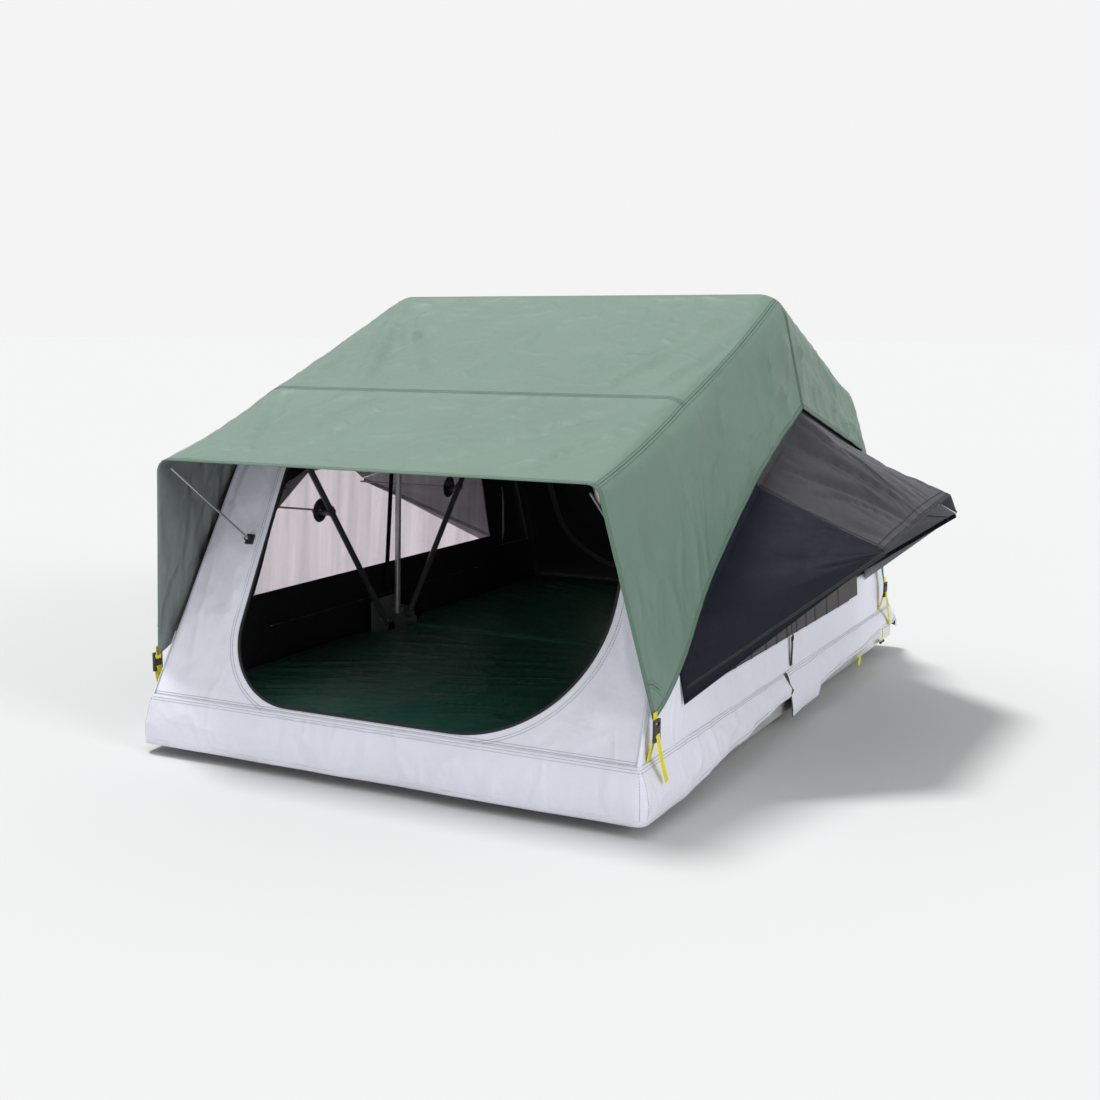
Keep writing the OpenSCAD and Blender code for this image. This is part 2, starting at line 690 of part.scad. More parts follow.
// Height of the hem over its lowest line along the sides: the front rises to the slit, the rear to the corner
flap_end = 120;
function front_lift(y) = y > wall_y - 20 ? 0 : 66 * (1 - (y - slit_offset) / (wall_y - slit_offset)) ^ 1.2;
function rear_hem_lift(y) = y < flap_end ? 4 : y > wall_y - 20 ? 55 : mix(30, 80, (y - flap_end) / (wall_y - flap_end));
// Folds across the hem, by the distance along the skirt
function hem_fold(p) = skirt_fold * sin(360 * (p[0] + p[1]) / 230) * sin(360 * (p[0] - p[1]) / 610);

skirt_top_out = 0.85 * cloth + seat;
function skirt_point(station, share, lift) =
    let (out = lookup(share, [[0, skirt_top_out], [0.06, skirt_bulge * 0.45], [0.25, skirt_bulge * 0.9],
                              [0.5, skirt_bulge], [1, skirt_bulge * 0.9]]) + share * share * hem_fold(station[0]),
         p = station[0] + out * station[1])
    [p[0], p[1], seam_z + 2 - share * (skirt_drop + 2 - lift)];

side_stations = 14;
module rear_skirt_sheet() {
    side = concat([[[wall_x, 14 - slit_offset], [1, 0]], [[wall_x, 20], [1, 0]], [[wall_x, flap_end - 1], [1, 0]]],
        skirt_side(flap_end + 6, side_stations));
    sheet([for (s = skirt_route(side, 14))
        [for (share = [0, 0.06, 0.25, 0.5, 0.75, 1]) skirt_point(s, share, rear_hem_lift(s[0][1]))]]);
}

module front_skirt_sheet() {
    sheet([for (s = skirt_route(skirt_side(slit_offset, 12), 16))
        [for (share = [0, 0.06, 0.25, 0.5, 0.75, 1]) skirt_point(s, share, front_lift(s[0][1]))]]);
}

// Tie down on the right at a place along the side: the hook hangs from the flysheet's tip
hook_x = tip_x + cloth / 2 + webbing;
hook_top = tip_z + 8;
hook_width = webbing_width + 12;
hook_thickness = 6;
module tie_hook(y) {
    translate([hook_x, y - hook_width / 2, hook_top - hook_length]) difference() {
        cube([hook_thickness, hook_width, hook_length]);
        for (z = [6, hook_length - 14]) translate([-1, 5, z]) cube([hook_thickness + 2, hook_width - 10, 8]);
    }
}

tail = 6;
module tie_strap(y) {
    foot = [side_face(seam_z + 4) + seat, seam_z + 4];
    head = [hook_x - webbing / 2, hook_top - hook_length + 12];
    angle = atan((head[0] - foot[0]) / (head[1] - foot[1]));
    translate([foot[0], y - webbing_width / 2, foot[1]]) rotate([0, angle, 0])
        cube([webbing, webbing_width, norm(head - foot)]);
    translate([hook_x + hook_thickness, y - webbing_width / 2, seam_z - tail])
        cube([webbing, webbing_width, hook_top - hook_length + 16 - seam_z + tail]);
    translate([hook_x - webbing, y - webbing_width / 2, hook_top - 18])
        cube([webbing, webbing_width, 30]);
}

// Toggle under the rear hem: a cord from the skirt and its bar
toggle_station = 12;
toggle_y = skirt_side(flap_end + 6, side_stations)[toggle_station][0][1];
toggle_bar = 46;
toggle_cord = 2.4;
module toggle(side) {
    lift = rear_hem_lift(toggle_y);
    spots = [for (share = [0.75, 1]) skirt_point([[side * wall_x, toggle_y], [side, 0]], share, lift)];
    x = side * (min(side * spots[0][0], side * spots[1][0]) - cloth / 2 - toggle_cord / 2 - running);
    hem = spots[1][2];
    bar([x, toggle_y, hem - 50], [x, toggle_y, hem + 14], toggle_cord);
    bar([x, toggle_y - toggle_bar / 2, hem - 50], [x, toggle_y + toggle_bar / 2, hem - 50], 9);
}

// Zip pull hanging from the sill of a side window
pull_y = -22;
pull_top = seam_z + lower_wall_rise + 2;
pull_x = side_face(pull_top - pull_length) + seat + 1 + webbing / 2;
module window_pull() {
    seat_x = side_face(pull_top - 8) + seat;
    translate([pull_x - webbing / 2, pull_y - pull_width / 2, pull_top - pull_length])
        cube([webbing, pull_width, pull_length]);
    translate([seat_x, pull_y - 6, pull_top - 8]) cube([pull_x + 2.4 - seat_x, 12, 10]);
}

// Sub-parts

module rear_panel() { color("#6b6e70") base_panel(); }
module front_panel() { color("#6b6e70") front_half() base_panel(); }
module rear_edge_frame() { color("#a9adb0") edge_frame(); }
module front_edge_frame() { color("#a9adb0") front_half() edge_frame(); }
module rear_mattress() { color("#1f3a2c") mattress(); }
module front_mattress() { color("#1f3a2c") front_half() mattress(); }
module mounting_rails() { color("#b4b8bb") rail_pair(true); }
module support_rails() { color("#b4b8bb") front_half() rail_pair(false); }
module rear_rail_caps() { color("#1c1d1f") rail_caps(); }
module front_rail_caps() { color("#1c1d1f") front_half() rail_caps(); }
module rear_hinge_plates() {
    color("#8d9296") both_sides()
        hinge_plate(rear_plate_outline, rear_plate_x, pivot_offset);
}
module front_hinge_plates() {
    color("#8d9296") both_sides()
        hinge_plate(front_plate_outline, front_plate_x, -pivot_offset);
}
module rear_hinge_screws() { color("#c3c6c8") hinge_screws(); }
module front_hinge_screws() { color("#c3c6c8") front_half() hinge_screws(); }
module hinge_pins() { color("#c3c6c8") pin_pair(0, hinge_z, front_plate_x + plate_thickness + 3); }
module rear_pivot_pins() { color("#c3c6c8") pin_pair(pivot_offset, pivot_z, rear_plate_x + plate_thickness); }
module front_pivot_pins() { color("#c3c6c8") pin_pair(-pivot_offset, pivot_z, front_plate_x + plate_thickness); }

module rear_bow() {
    color("#5d6164") translate([0, pivot_offset, pivot_z]) rotate([-bow_lean, 0, 0]) bow(bow_length);
}
module front_bow() {
    color("#5d6164") translate([0, -pivot_offset, pivot_z]) rotate([bow_lean, 0, 0]) bow(bow_length);
}
module centre_bow() { color("#b9bcbf") translate([0, 0, hinge_z]) bow(ridge_length); }
module rear_rod_brackets() { color("#1c1d1f") for (side = [-1, 1]) at_rod(side) rod_bracket(); }
module front_rod_brackets() { color("#1c1d1f") front_half() for (side = [-1, 1]) at_rod(side) rod_bracket(); }
module awning_rod_rear_right() { color("#c3c6c8") at_rod(1) awning_rod(); }
module awning_rod_rear_left() { color("#c3c6c8") at_rod(-1) awning_rod(); }
module awning_rod_front_right() { color("#c3c6c8") front_half() at_rod(1) awning_rod(); }
module awning_rod_front_left() { color("#c3c6c8") front_half() at_rod(-1) awning_rod(); }

module front_wall() { color("#cdd0dc") on_wall() wall_slab(wall_outline, door_outline(0)); }
module door_binding() {
    color("#16171a") on_wall() translate([0, 0, cloth / 2]) linear_extrude(cloth / 2) difference() {
        polygon(door_outline(binding_width));
        polygon(door_outline(0));
    }
}
module rod_clips() { color("#1c1d1f") on_wall() for (side = [-1, 1]) rod_clip(side); }
roll_margin = 40;
module door_roll() {
    color("#b9bcc8") on_wall()
        bar([-door_left + roll_margin, door_head + door_roll_d / 2 + 4, cloth / 2 + door_roll_d / 2],
            [door_right - roll_margin, door_head + door_roll_d / 2 + 4, cloth / 2 + door_roll_d / 2], door_roll_d);
}
module canopy_rod_right() { color("#c3c6c8") canopy_rod(1); }
module canopy_rod_left() { color("#c3c6c8") canopy_rod(-1); }
module rear_wall() { color("#cdd0dc") front_half() on_wall() wall_slab(wall_outline, rear_window(0)); }
module rear_window_mesh() {
    color("#8f8a8a") front_half() on_wall() linear_extrude(cloth - 1, center = true) polygon(rear_window(-seat));
}

module rear_lower_walls() { color("#cdd0dc") both_sides() lower_wall(); }
module front_lower_walls() { color("#cdd0dc") front_half() both_sides() lower_wall(); }
module rear_upper_walls() { color("#1a1b1d") both_sides() upper_wall(); }
module front_upper_walls() { color("#1a1b1d") front_half() both_sides() upper_wall(); }
module rear_side_meshes() { color("#b5b1b2") both_sides() side_mesh(); }
module front_side_meshes() { color("#b5b1b2") front_half() both_sides() side_mesh(); }
module rear_ceiling() { color("#1a1b1d") ceiling(); }
module front_ceiling() { color("#1a1b1d") front_half() ceiling(); }
module front_fly() { color("#8fa598") fly(front_fly_rows); }
module rear_fly() { color("#8fa598") front_half() fly(rear_fly_rows); }

module right_awning_top() { color("#434247") awning_top(); }
module left_awning_top() { color("#434247") mirror([1, 0, 0]) awning_top(); }
module right_awning_cheeks() { color("#282c3a") awning_cheeks(); }
module left_awning_cheeks() { color("#282c3a") mirror([1, 0, 0]) awning_cheeks(); }

module rear_skirt() { color("#cdd0dc") rear_skirt_sheet(); }
module front_skirt() { color("#cdd0dc") front_half() front_skirt_sheet(); }
module rear_tie_straps() { color("#d8cf1e") both_sides() tie_strap(rear_tip_reach - 4); }
module front_tie_straps() { color("#d8cf1e") both_sides() tie_strap(4 - tip_reach); }
module rear_tie_hooks() { color("#1c1d1f") both_sides() tie_hook(rear_tip_reach - 4); }
module front_tie_hooks() { color("#1c1d1f") both_sides() tie_hook(4 - tip_reach); }
module rear_toggles() { color("#1c1d1f") for (side = [-1, 1]) toggle(side); }
module window_pull_right() { color("#1c1d1f") window_pull(); }
module window_pull_left() { color("#1c1d1f") mirror([1, 0, 0]) window_pull(); }

rear_panel();
rear_edge_frame();
rear_mattress();
mounting_rails();
rear_rail_caps();
rear_hinge_plates();
rear_hinge_screws();
hinge_pins();
rear_pivot_pins();
rear_skirt();
rear_wall();
rear_window_mesh();
rear_lower_walls();
rear_upper_walls();
rear_side_meshes();
rear_ceiling();
rear_fly();
rear_tie_straps();
rear_tie_hooks();
rear_toggles();
front_panel();
front_edge_frame();
front_mattress();
support_rails();
front_rail_caps();
front_hinge_plates();
front_hinge_screws();
front_pivot_pins();
front_skirt();
front_lower_walls();
front_upper_walls();
front_side_meshes();
front_ceiling();
front_fly();
front_tie_straps();
front_tie_hooks();
front_wall();
door_binding();
rod_clips();
door_roll();
front_bow();
centre_bow();
rear_bow();
front_rod_brackets();
rear_rod_brackets();
canopy_rod_left();
canopy_rod_right();
awning_rod_front_left();
awning_rod_front_right();
awning_rod_rear_left();
awning_rod_rear_right();
left_awning_top();
left_awning_cheeks();
right_awning_top();
right_awning_cheeks();
window_pull_left();
window_pull_right();
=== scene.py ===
# %% [markdown]
# # A roof top tent, dressed over its frame
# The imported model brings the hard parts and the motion. This lesson replaces every stiff cloth solid with
# a thin, creased and sewn one, gives every part a finish, and sets the camera at the photograph's angle.

# %% Load the frame
import math

import bpy
import numpy as np
from mathutils import Matrix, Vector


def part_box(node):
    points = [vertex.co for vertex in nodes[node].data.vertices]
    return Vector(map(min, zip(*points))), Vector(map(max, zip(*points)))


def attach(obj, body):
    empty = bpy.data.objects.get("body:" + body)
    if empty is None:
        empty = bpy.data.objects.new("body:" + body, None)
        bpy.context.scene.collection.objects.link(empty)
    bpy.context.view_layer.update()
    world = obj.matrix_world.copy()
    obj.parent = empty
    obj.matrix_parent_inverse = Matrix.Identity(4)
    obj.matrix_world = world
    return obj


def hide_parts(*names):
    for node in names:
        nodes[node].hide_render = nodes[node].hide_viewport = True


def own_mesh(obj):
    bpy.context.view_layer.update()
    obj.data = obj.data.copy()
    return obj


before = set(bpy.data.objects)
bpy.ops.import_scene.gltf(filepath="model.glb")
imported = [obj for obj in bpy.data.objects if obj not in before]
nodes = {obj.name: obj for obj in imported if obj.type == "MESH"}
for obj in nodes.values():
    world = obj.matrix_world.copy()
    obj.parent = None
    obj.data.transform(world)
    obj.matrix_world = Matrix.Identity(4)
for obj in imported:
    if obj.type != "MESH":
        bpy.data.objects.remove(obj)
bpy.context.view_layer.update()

# %% [markdown]
# ## Sizes shared by all the cloth
# The solids and the cloth keep to the same few measures, in metres: the seam where the walls meet the
# skirt, the cross bars of the bows, and the slopes of the walls. Writing them once keeps every piece in
# register. The tent is alike at both ends and on both sides, so most pieces are made in loops over these.

# %% Measures of the tent
SEAM_X, SEAM_Y, SEAM_Z = 0.700, 1.091, 0.155
BASE_TOP = 0.090
BOW_Y, BOW_Z, RIDGE_Z = 0.6641, 0.9384, 1.199
END_SLOPE = math.radians(62.12)
SIDE_TAN = 0.0703
CLOTH = 0.0012
TAPE = 0.0010
HALVES = (("front", -1), ("rear", 1))
HANDS = (("left", -1), ("right", 1))
ACROSS = np.array([1.0, 0.0, 0.0])
MIRROR = np.array([-1, 1, 1])
UP_WALL = np.array([0.0, math.cos(END_SLOPE), math.sin(END_SLOPE)])
OUT_WALL = np.array([0.0, -math.sin(END_SLOPE), math.cos(END_SLOPE)])


def side_x(z):
    """Distance of a side wall from the middle of the tent, at a height: the walls lean in."""
    return SEAM_X - SIDE_TAN * (z - SEAM_Z)


def on_wall(points, out=0.0):
    """Places on the sloping front wall, from pairs of (across, up along the wall) and a distance out."""
    points = np.asarray(points, float)
    height = np.asarray(out, float)[..., None]
    foot = np.array([0.0, -SEAM_Y, SEAM_Z])
    return foot + points[..., :1] * ACROSS + points[..., 1:] * UP_WALL + height * OUT_WALL


print("front wall slopes at", round(math.degrees(END_SLOPE), 1), "degrees")

# %% [markdown]
# ## A helper for node trees
# Finishes, the stitches and the world are all node trees. One call adds a node, sets it and links its
# inputs, so that a tree reads as a recipe from top to bottom. Setting each node by hand would take far
# more lines.


# %% Node helper
class NodeMaker:
    """Adds nodes to a tree. An input goes by its label, with _ for a space, or by its number, as in i0."""

    def __init__(self, tree):
        self.tree = tree
        tree.nodes.clear()

    def add(self, kind, settings=None, **inputs):
        node = self.tree.nodes.new(kind)
        for key, value in (settings or {}).items():
            setattr(node, key, value)
        for key, value in inputs.items():
            place = int(key[1:]) if key[1:].isdigit() else key.replace("_", " ")
            if isinstance(value, bpy.types.NodeSocket):
                self.tree.links.new(value, node.inputs[place])
            else:
                node.inputs[place].default_value = value
        return node

    def maths(self, how, a, b=0.0):
        return self.add("ShaderNodeMath", {"operation": how}, i0=a, i1=b).outputs[0]


print("node helper ready")

# %% [markdown]
# Every finish of the tent shares a few steps: noise on Object coordinates, a change of range, a bump, and a
# mix of two tints or two shaders. Each step becomes a method, so a finish needs one line for it.


# %% Steps of a finish
class Finish(NodeMaker):
    """The node tree of a material, with the steps that the tent's finishes share."""

    def __init__(self, name):
        self.material = bpy.data.materials.new(name)
        self.material.use_nodes = True
        super().__init__(self.material.node_tree)
        coordinates = self.add("ShaderNodeTexCoord").outputs
        self.place, self.uv = coordinates["Object"], coordinates["UV"]

    def mix(self, share, a, b):
        return self.add("ShaderNodeMix", {"data_type": "RGBA"}, i0=share, i6=a, i7=b).outputs[2]

    def noise(self, where, scale, detail, rough=0.5):
        node = self.add("ShaderNodeTexNoise", Vector=where, Scale=scale, Detail=detail, Roughness=rough)
        return node.outputs["Fac"]

    def stretched(self, scale, turn=(0.0, 0.0, 0.0)):
        return self.add("ShaderNodeMapping", Vector=self.place, Scale=scale, Rotation=turn).outputs[0]

    def ranged(self, value, low, high, to_low=0.0, to_high=1.0, shape="LINEAR"):
        node = self.add("ShaderNodeMapRange", {"interpolation_type": shape},
                        i0=value, i1=low, i2=high, i3=to_low, i4=to_high)
        return node.outputs[0]

    def bump(self, height, strength, distance, **under):
        node = self.add("ShaderNodeBump", Height=height, Strength=strength, Distance=distance, **under)
        return node.outputs[0]

    def blend(self, share, a, b):
        return self.add("ShaderNodeMixShader", i0=share, i1=a, i2=b).outputs[0]

    def surface(self, shader):
        self.add("ShaderNodeOutputMaterial", Surface=shader)
        return self.material


def shaded(colour, share=1.0):
    """A lighter or darker tint of a colour, as the four values that a colour socket takes."""
    return tuple(min(1.0, c * share) for c in colour) + (1.0,)


print("a darker green:", shaded((0.130, 0.204, 0.158), 0.5))

# %% [markdown]
# ## Cloth
# Coated cloth has a fine weave, slow changes of tint from dye and dust, and soft dents and folds too
# small to model. The weave follows the piece's own UV map, which is laid out in metres, so a thread is
# the same size on every piece. The dents follow Object coordinates, so they don't repeat from panel to
# panel.

# %% Cloth finish
WAVE_LENGTH = 0.314
DUST_SHARES = (0.7, 0.3)
THREAD_GLINT = 1.25


def cloth_finish(name, colour, rough=0.65, pitch=0.0014, weave=0.25, crumple=0.25, mottle=0.10,
                 shine=0.3, see_through=0.0, pleats=0.0):
    """Woven cloth. pitch is the distance between threads, and the other values are strengths."""
    f = Finish(name)
    scale = WAVE_LENGTH / pitch
    warp, weft = [f.add("ShaderNodeTexWave", {"bands_direction": way}, Vector=f.uv, Scale=scale)
                  for way in "XY"]
    threads = f.maths("MAXIMUM", warp.outputs["Fac"], weft.outputs["Fac"])
    slow, fine = f.noise(f.place, 4.5, 4.0), f.noise(f.place, 70.0, 3.0)
    dust = f.maths("ADD", *[f.maths("MULTIPLY", n, share) for n, share in zip((slow, fine), DUST_SHARES)])
    tint = f.mix(f.ranged(dust, 0.35, 0.65), shaded(colour, 1 - mottle), shaded(colour, 1 + mottle))
    tint = f.mix(f.maths("MULTIPLY", threads, 0.12), tint, shaded(colour, THREAD_GLINT))
    wander = f.noise(f.stretched((6.0, 6.0, 2.6), (0.5, 0.6, 0.0)), 1.0, 2.5, 0.45)
    fold = f.maths("ABSOLUTE", f.maths("SUBTRACT", wander, 0.5))
    relief = f.bump(f.ranged(fold, 0.0, 0.07, 1.0, 0.0, "SMOOTHSTEP"), pleats, 0.010)
    relief = f.bump(f.noise(f.place, 26.0, 5.0, 0.55), crumple, 0.004, Normal=relief)
    relief = f.bump(threads, weave, 0.0003, Normal=relief)
    gloss = f.ranged(fine, 0.3, 0.7, rough - 0.06, rough + 0.06)
    shader = f.add("ShaderNodeBsdfPrincipled", Base_Color=tint, Roughness=gloss, Normal=relief,
                   Specular_IOR_Level=shine).outputs[0]
    if see_through:
        glow = f.add("ShaderNodeBsdfTranslucent", Color=shaded(colour)).outputs[0]
        shader = f.blend(see_through, shader, glow)
    return f.surface(shader)


FLY_OUT = cloth_finish("fly_green", (0.130, 0.204, 0.158), rough=0.45, shine=0.35, crumple=0.42,
                       mottle=0.06, pleats=0.13)
FLY_IN = cloth_finish("fly_grey_lining", (0.235, 0.265, 0.262), rough=0.5, crumple=0.4, pleats=0.7,
                      see_through=0.15)
WALL_OUT = cloth_finish("wall_pale_grey", (0.740, 0.753, 0.838), rough=0.72, crumple=0.6, mottle=0.03,
                        pleats=0.22)
WALL_IN = cloth_finish("wall_black_lining", (0.012, 0.012, 0.013), rough=0.6, mottle=0.2, crumple=0.4)
AWNING_OUT = cloth_finish("awning_charcoal", (0.029, 0.0285, 0.035), rough=0.5, mottle=0.12, crumple=0.5)
AWNING_IN = cloth_finish("awning_grey_lining", (0.10, 0.105, 0.11), rough=0.6)
CHEEK_IN = cloth_finish("cheek_grey_lining", (0.36, 0.37, 0.39), rough=0.6, mottle=0.08)
CHEEK_OUT = cloth_finish("awning_navy", (0.0080, 0.0100, 0.0175), rough=0.62, mottle=0.15, crumple=0.3,
                         shine=0.14)
COVER = cloth_finish("mattress_green", (0.019, 0.090, 0.062), rough=0.36, shine=0.5, mottle=0.12, crumple=0.3)
print("cloth finishes:", len(bpy.data.materials))

# %% [markdown]
# Tapes and webbing are the same kind of cloth with a coarser weave, so the same recipe serves with a
# wider pitch and a stronger weave.

# %% Tape finishes
INNER_TAPE = cloth_finish("inner_dark_tape", (0.050, 0.048, 0.048), rough=0.6, pitch=0.002, weave=0.6)
HEM = cloth_finish("pale_hem_tape", (0.69, 0.705, 0.785), rough=0.8, pitch=0.002, weave=0.5)
FLY_HEM = cloth_finish("green_hem_tape", (0.105, 0.180, 0.136), rough=0.55, pitch=0.002, weave=0.4)
# The seam bands' dark green is painted shade, for the shadow in the fold of each seam.
FLY_SEAM_PAINTED_SHADE = cloth_finish("green_seam_fold_painted_shade", (0.048, 0.090, 0.067), rough=0.7, pitch=0.002, weave=0.4)
DARK_TAPE = cloth_finish("dark_tape", (0.012, 0.012, 0.014), rough=0.6, pitch=0.002, weave=0.6)
SILL_NET = cloth_finish("sill_net", (0.085, 0.080, 0.078), rough=0.85, pitch=0.003, weave=1.0)
YELLOW = cloth_finish("yellow_webbing", (0.72, 0.66, 0.012), rough=0.7, pitch=0.0026, weave=0.8)
print("with tapes:", len(bpy.data.materials))

# %% [markdown]
# ## Insect net
# Net is mostly air. Modelling its holes would take millions of faces, so the finish mixes thread and
# clear gap by a fine grain, and slow upright bands dim the gaps a little where the net hangs in folds.


# %% Net finish
def net_finish(name, colour, open_share, seen=(1.0, 1.0, 1.0)):
    """Net with a share of open gaps. seen is the tint of what shows through them."""
    f = Finish(name)
    tint = f.mix(f.noise(f.place, 9.0, 3.0), shaded(colour, 0.86), shaded(colour, 1.12))
    thread = f.add("ShaderNodeBsdfPrincipled", Base_Color=tint, Roughness=0.8, Specular_IOR_Level=0.2)
    glow = f.add("ShaderNodeBsdfTranslucent", Color=tint)
    solid = f.blend(0.45, thread.outputs[0], glow.outputs[0])
    folds = f.ranged(f.noise(f.stretched((1.5, 17.0, 1.3)), 1.0, 2.0), 0.35, 0.65)
    gap = f.add("ShaderNodeBsdfTransparent", Color=f.mix(folds, shaded(seen, 0.88), shaded(seen)))
    share = f.ranged(f.noise(f.place, 900.0, 1.0), 0.3, 0.7, open_share - 0.12, open_share + 0.12)
    return f.surface(f.blend(share, solid, gap.outputs[0]))


WINDOW_NET = net_finish("window_net", (0.56, 0.50, 0.52), 0.79, (1.0, 0.955, 0.98))
PANE_NET = net_finish("pane_net", (0.66, 0.60, 0.54), 0.30)
print("with nets:", len(bpy.data.materials))

# %% [markdown]
# ## Metal, plastic and thread
# Hard surfaces have a grain, which is stretched along the tube on drawn metal, small changes of gloss,
# and brighter worn edges. Pointiness finds the edges, so no mask has to be painted.

# %% Hard finish
GRAIN_SPREAD, GRAIN_BUMP = 0.12, 0.05
WORN_TINT = 1.9


def hard_finish(name, colour, metal=0.0, rough=0.4, grain=(40.0, 40.0, 40.0), wear=0.0):
    f = Finish(name)
    fine, slow = f.noise(f.stretched(grain), 1.0, 5.0, 0.6), f.noise(f.place, 7.0, 3.0)
    tint = f.mix(fine, shaded(colour, 1 - GRAIN_SPREAD), shaded(colour, 1 + GRAIN_SPREAD))
    edge = f.add("ShaderNodeNewGeometry").outputs["Pointiness"]
    tint = f.mix(f.ranged(edge, 0.52, 0.60, 0.0, wear), tint, shaded(colour, WORN_TINT))
    gloss = f.ranged(slow, 0.3, 0.7, rough - 0.08, rough + 0.08)
    shader = f.add("ShaderNodeBsdfPrincipled", Base_Color=tint, Metallic=metal, Roughness=gloss,
                   Normal=f.bump(fine, GRAIN_BUMP, 0.001))
    return f.surface(shader.outputs[0])


GREEN_THREAD = hard_finish("green_thread", (0.075, 0.13, 0.095), rough=0.8)
GREY_THREAD = hard_finish("grey_thread", (0.24, 0.25, 0.29), rough=0.8)
DARK_THREAD = hard_finish("dark_thread", (0.03, 0.03, 0.034), rough=0.8)
BOARD = hard_finish("sandwich_board", (0.22, 0.23, 0.24), rough=0.5, grain=(9.0, 9.0, 60.0))
ALLOY = hard_finish("brushed_alloy", (0.58, 0.59, 0.60), metal=1.0, rough=0.36, grain=(400.0, 8.0, 400.0),
                    wear=0.3)
GUNMETAL = hard_finish("gunmetal_tube", (0.105, 0.11, 0.112), metal=0.35, rough=0.36,
                       grain=(300.0, 20.0, 20.0))
BRIGHT = hard_finish("bright_tube", (0.50, 0.49, 0.48), metal=0.55, rough=0.36, grain=(300.0, 300.0, 10.0))
STEEL = hard_finish("plated_steel", (0.46, 0.47, 0.48), metal=1.0, rough=0.33, grain=(60.0, 60.0, 60.0),
                    wear=0.3)
PLATE = hard_finish("painted_plate", (0.16, 0.165, 0.17), metal=0.4, rough=0.45, wear=0.5)
PLASTIC = hard_finish("black_plastic", (0.018, 0.018, 0.02), rough=0.48, grain=(900.0, 900.0, 900.0),
                      wear=0.5)
print("all finishes:", len(bpy.data.materials))

# %% [markdown]
# ## Measuring a grid of points
# A piece of cloth starts as a grid of points. Its normals and its lengths in metres come from
# the grid, so the same numbers serve the mesh and the UV map.


# %% Grid helpers
def unit(v):
    return v / np.maximum(np.linalg.norm(v, axis=-1, keepdims=True), 1e-9)


def step_along(path, closed):
    return np.roll(path, -1, axis=0) - np.roll(path, 1, axis=0) if closed else np.gradient(path, axis=0)


def arc_length(path):
    return np.concatenate([[0], np.cumsum(np.linalg.norm(np.diff(path, axis=0), axis=1))])


def at_lengths(path, lengths):
    """Points of a path at the given distances along it."""
    step = arc_length(path)
    return np.stack([np.interp(lengths, step, path[:, k]) for k in range(path.shape[1])], axis=1)


def grid_normals(grid, ring=False):
    along = step_along(grid.transpose(1, 0, 2), ring).transpose(1, 0, 2)
    return unit(np.cross(np.gradient(grid, axis=0), along))


def grid_lengths(grid):
    """Distance along the rows and along the columns at each point, for a UV map in metres."""
    down = np.linalg.norm(np.diff(grid, axis=0), axis=2)
    along = np.linalg.norm(np.diff(grid, axis=1), axis=2)
    v = np.vstack([np.zeros(grid.shape[1]), np.cumsum(down, axis=0)])
    u = np.hstack([np.zeros((grid.shape[0], 1)), np.cumsum(along, axis=1)])
    return u, v


def toward(grid, direction):
    """The grid, with its rows turned round if its normals would point away from a direction."""
    return grid if np.mean(np.sum(grid_normals(grid) * direction, axis=2)) > 0 else grid[::-1]


print("cloth is", CLOTH * 1000, "mm thick")

# %% [markdown]
# ## Cloth as a closed sheet
# The sheet gets a face on each side of its grid, half a thickness away along the normals, and a rim. It
# is then a closed body whose lining can have its own colour, which a Solidify modifier on an open sheet
# would also give, but without a UV map in metres.


# %% Sheets
def mesh_piece(name, verts, faces, uvs, slots, materials, flat_from=None):
    """New object from points and faces. Faces from number flat_from on are shaded flat."""
    mesh = bpy.data.meshes.new(name)
    mesh.from_pydata(np.asarray(verts, float).tolist(), [], [list(map(int, face)) for face in faces])
    for material in materials:
        mesh.materials.append(material)
    mesh.polygons.foreach_set("material_index", np.asarray(slots, np.int32))
    smooth = np.ones(len(faces), bool)
    if flat_from is not None:
        smooth[flat_from:] = False
    mesh.polygons.foreach_set("use_smooth", smooth)
    layer = mesh.uv_layers.new(name="cloth")
    corner = np.zeros(len(mesh.loops), np.int32)
    mesh.loops.foreach_get("vertex_index", corner)
    layer.data.foreach_set("uv", np.asarray(uvs, np.float32)[corner].ravel())
    mesh.update()
    piece = bpy.data.objects.new(name, mesh)
    bpy.context.scene.collection.objects.link(piece)
    return piece


def sheet_piece(name, grid, outer, inner, thick=CLOTH, ring=False):
    """Closed sheet on a grid whose normals point outwards."""
    n, m = grid.shape[:2]
    shift = grid_normals(grid, ring) * thick / 2
    verts = np.concatenate([(grid + shift).reshape(-1, 3), (grid - shift).reshape(-1, 3)])
    uvs = np.stack(grid_lengths(grid), axis=2).reshape(-1, 2)
    number = np.arange(n * m).reshape(n, m)
    if ring:
        number = np.hstack([number, number[:, :1]])
    a, b = number[:-1, :-1].ravel(), number[1:, :-1].ravel()
    c, d = number[1:, 1:].ravel(), number[:-1, 1:].ravel()
    top = np.stack([a, b, c, d], axis=1)
    low = np.stack([a, d, c, b], axis=1) + n * m
    edges = [number[0, ::-1], number[-1]]
    if not ring:
        edges += [number[:, 0], number[::-1, -1]]
    rims = [np.stack([e[:-1], e[:-1] + n * m, e[1:] + n * m, e[1:]], axis=1) for e in edges]
    faces = np.concatenate([top, low] + rims)
    slots = np.zeros(len(faces))
    slots[len(top):2 * len(top)] = 1
    return mesh_piece(name, verts, faces, np.concatenate([uvs, uvs]), slots, [outer, inner], 2 * len(top))


print("sheet helper ready")

# %% [markdown]
# ## Tapes
# A tape is a flat band along a path, with its edges turned down and its foot sunk into the cloth, so no
# gap shows under it. Several bands of one kind make one piece.

# %% Ribbons
SINK = 0.0002


def band(path, normal, width, thick=TAPE, closed=False):
    """A band of tape: its path, the way it faces, its width and thickness, and whether it is a loop."""
    return np.asarray(path, float), np.asarray(normal, float), width, thick, closed


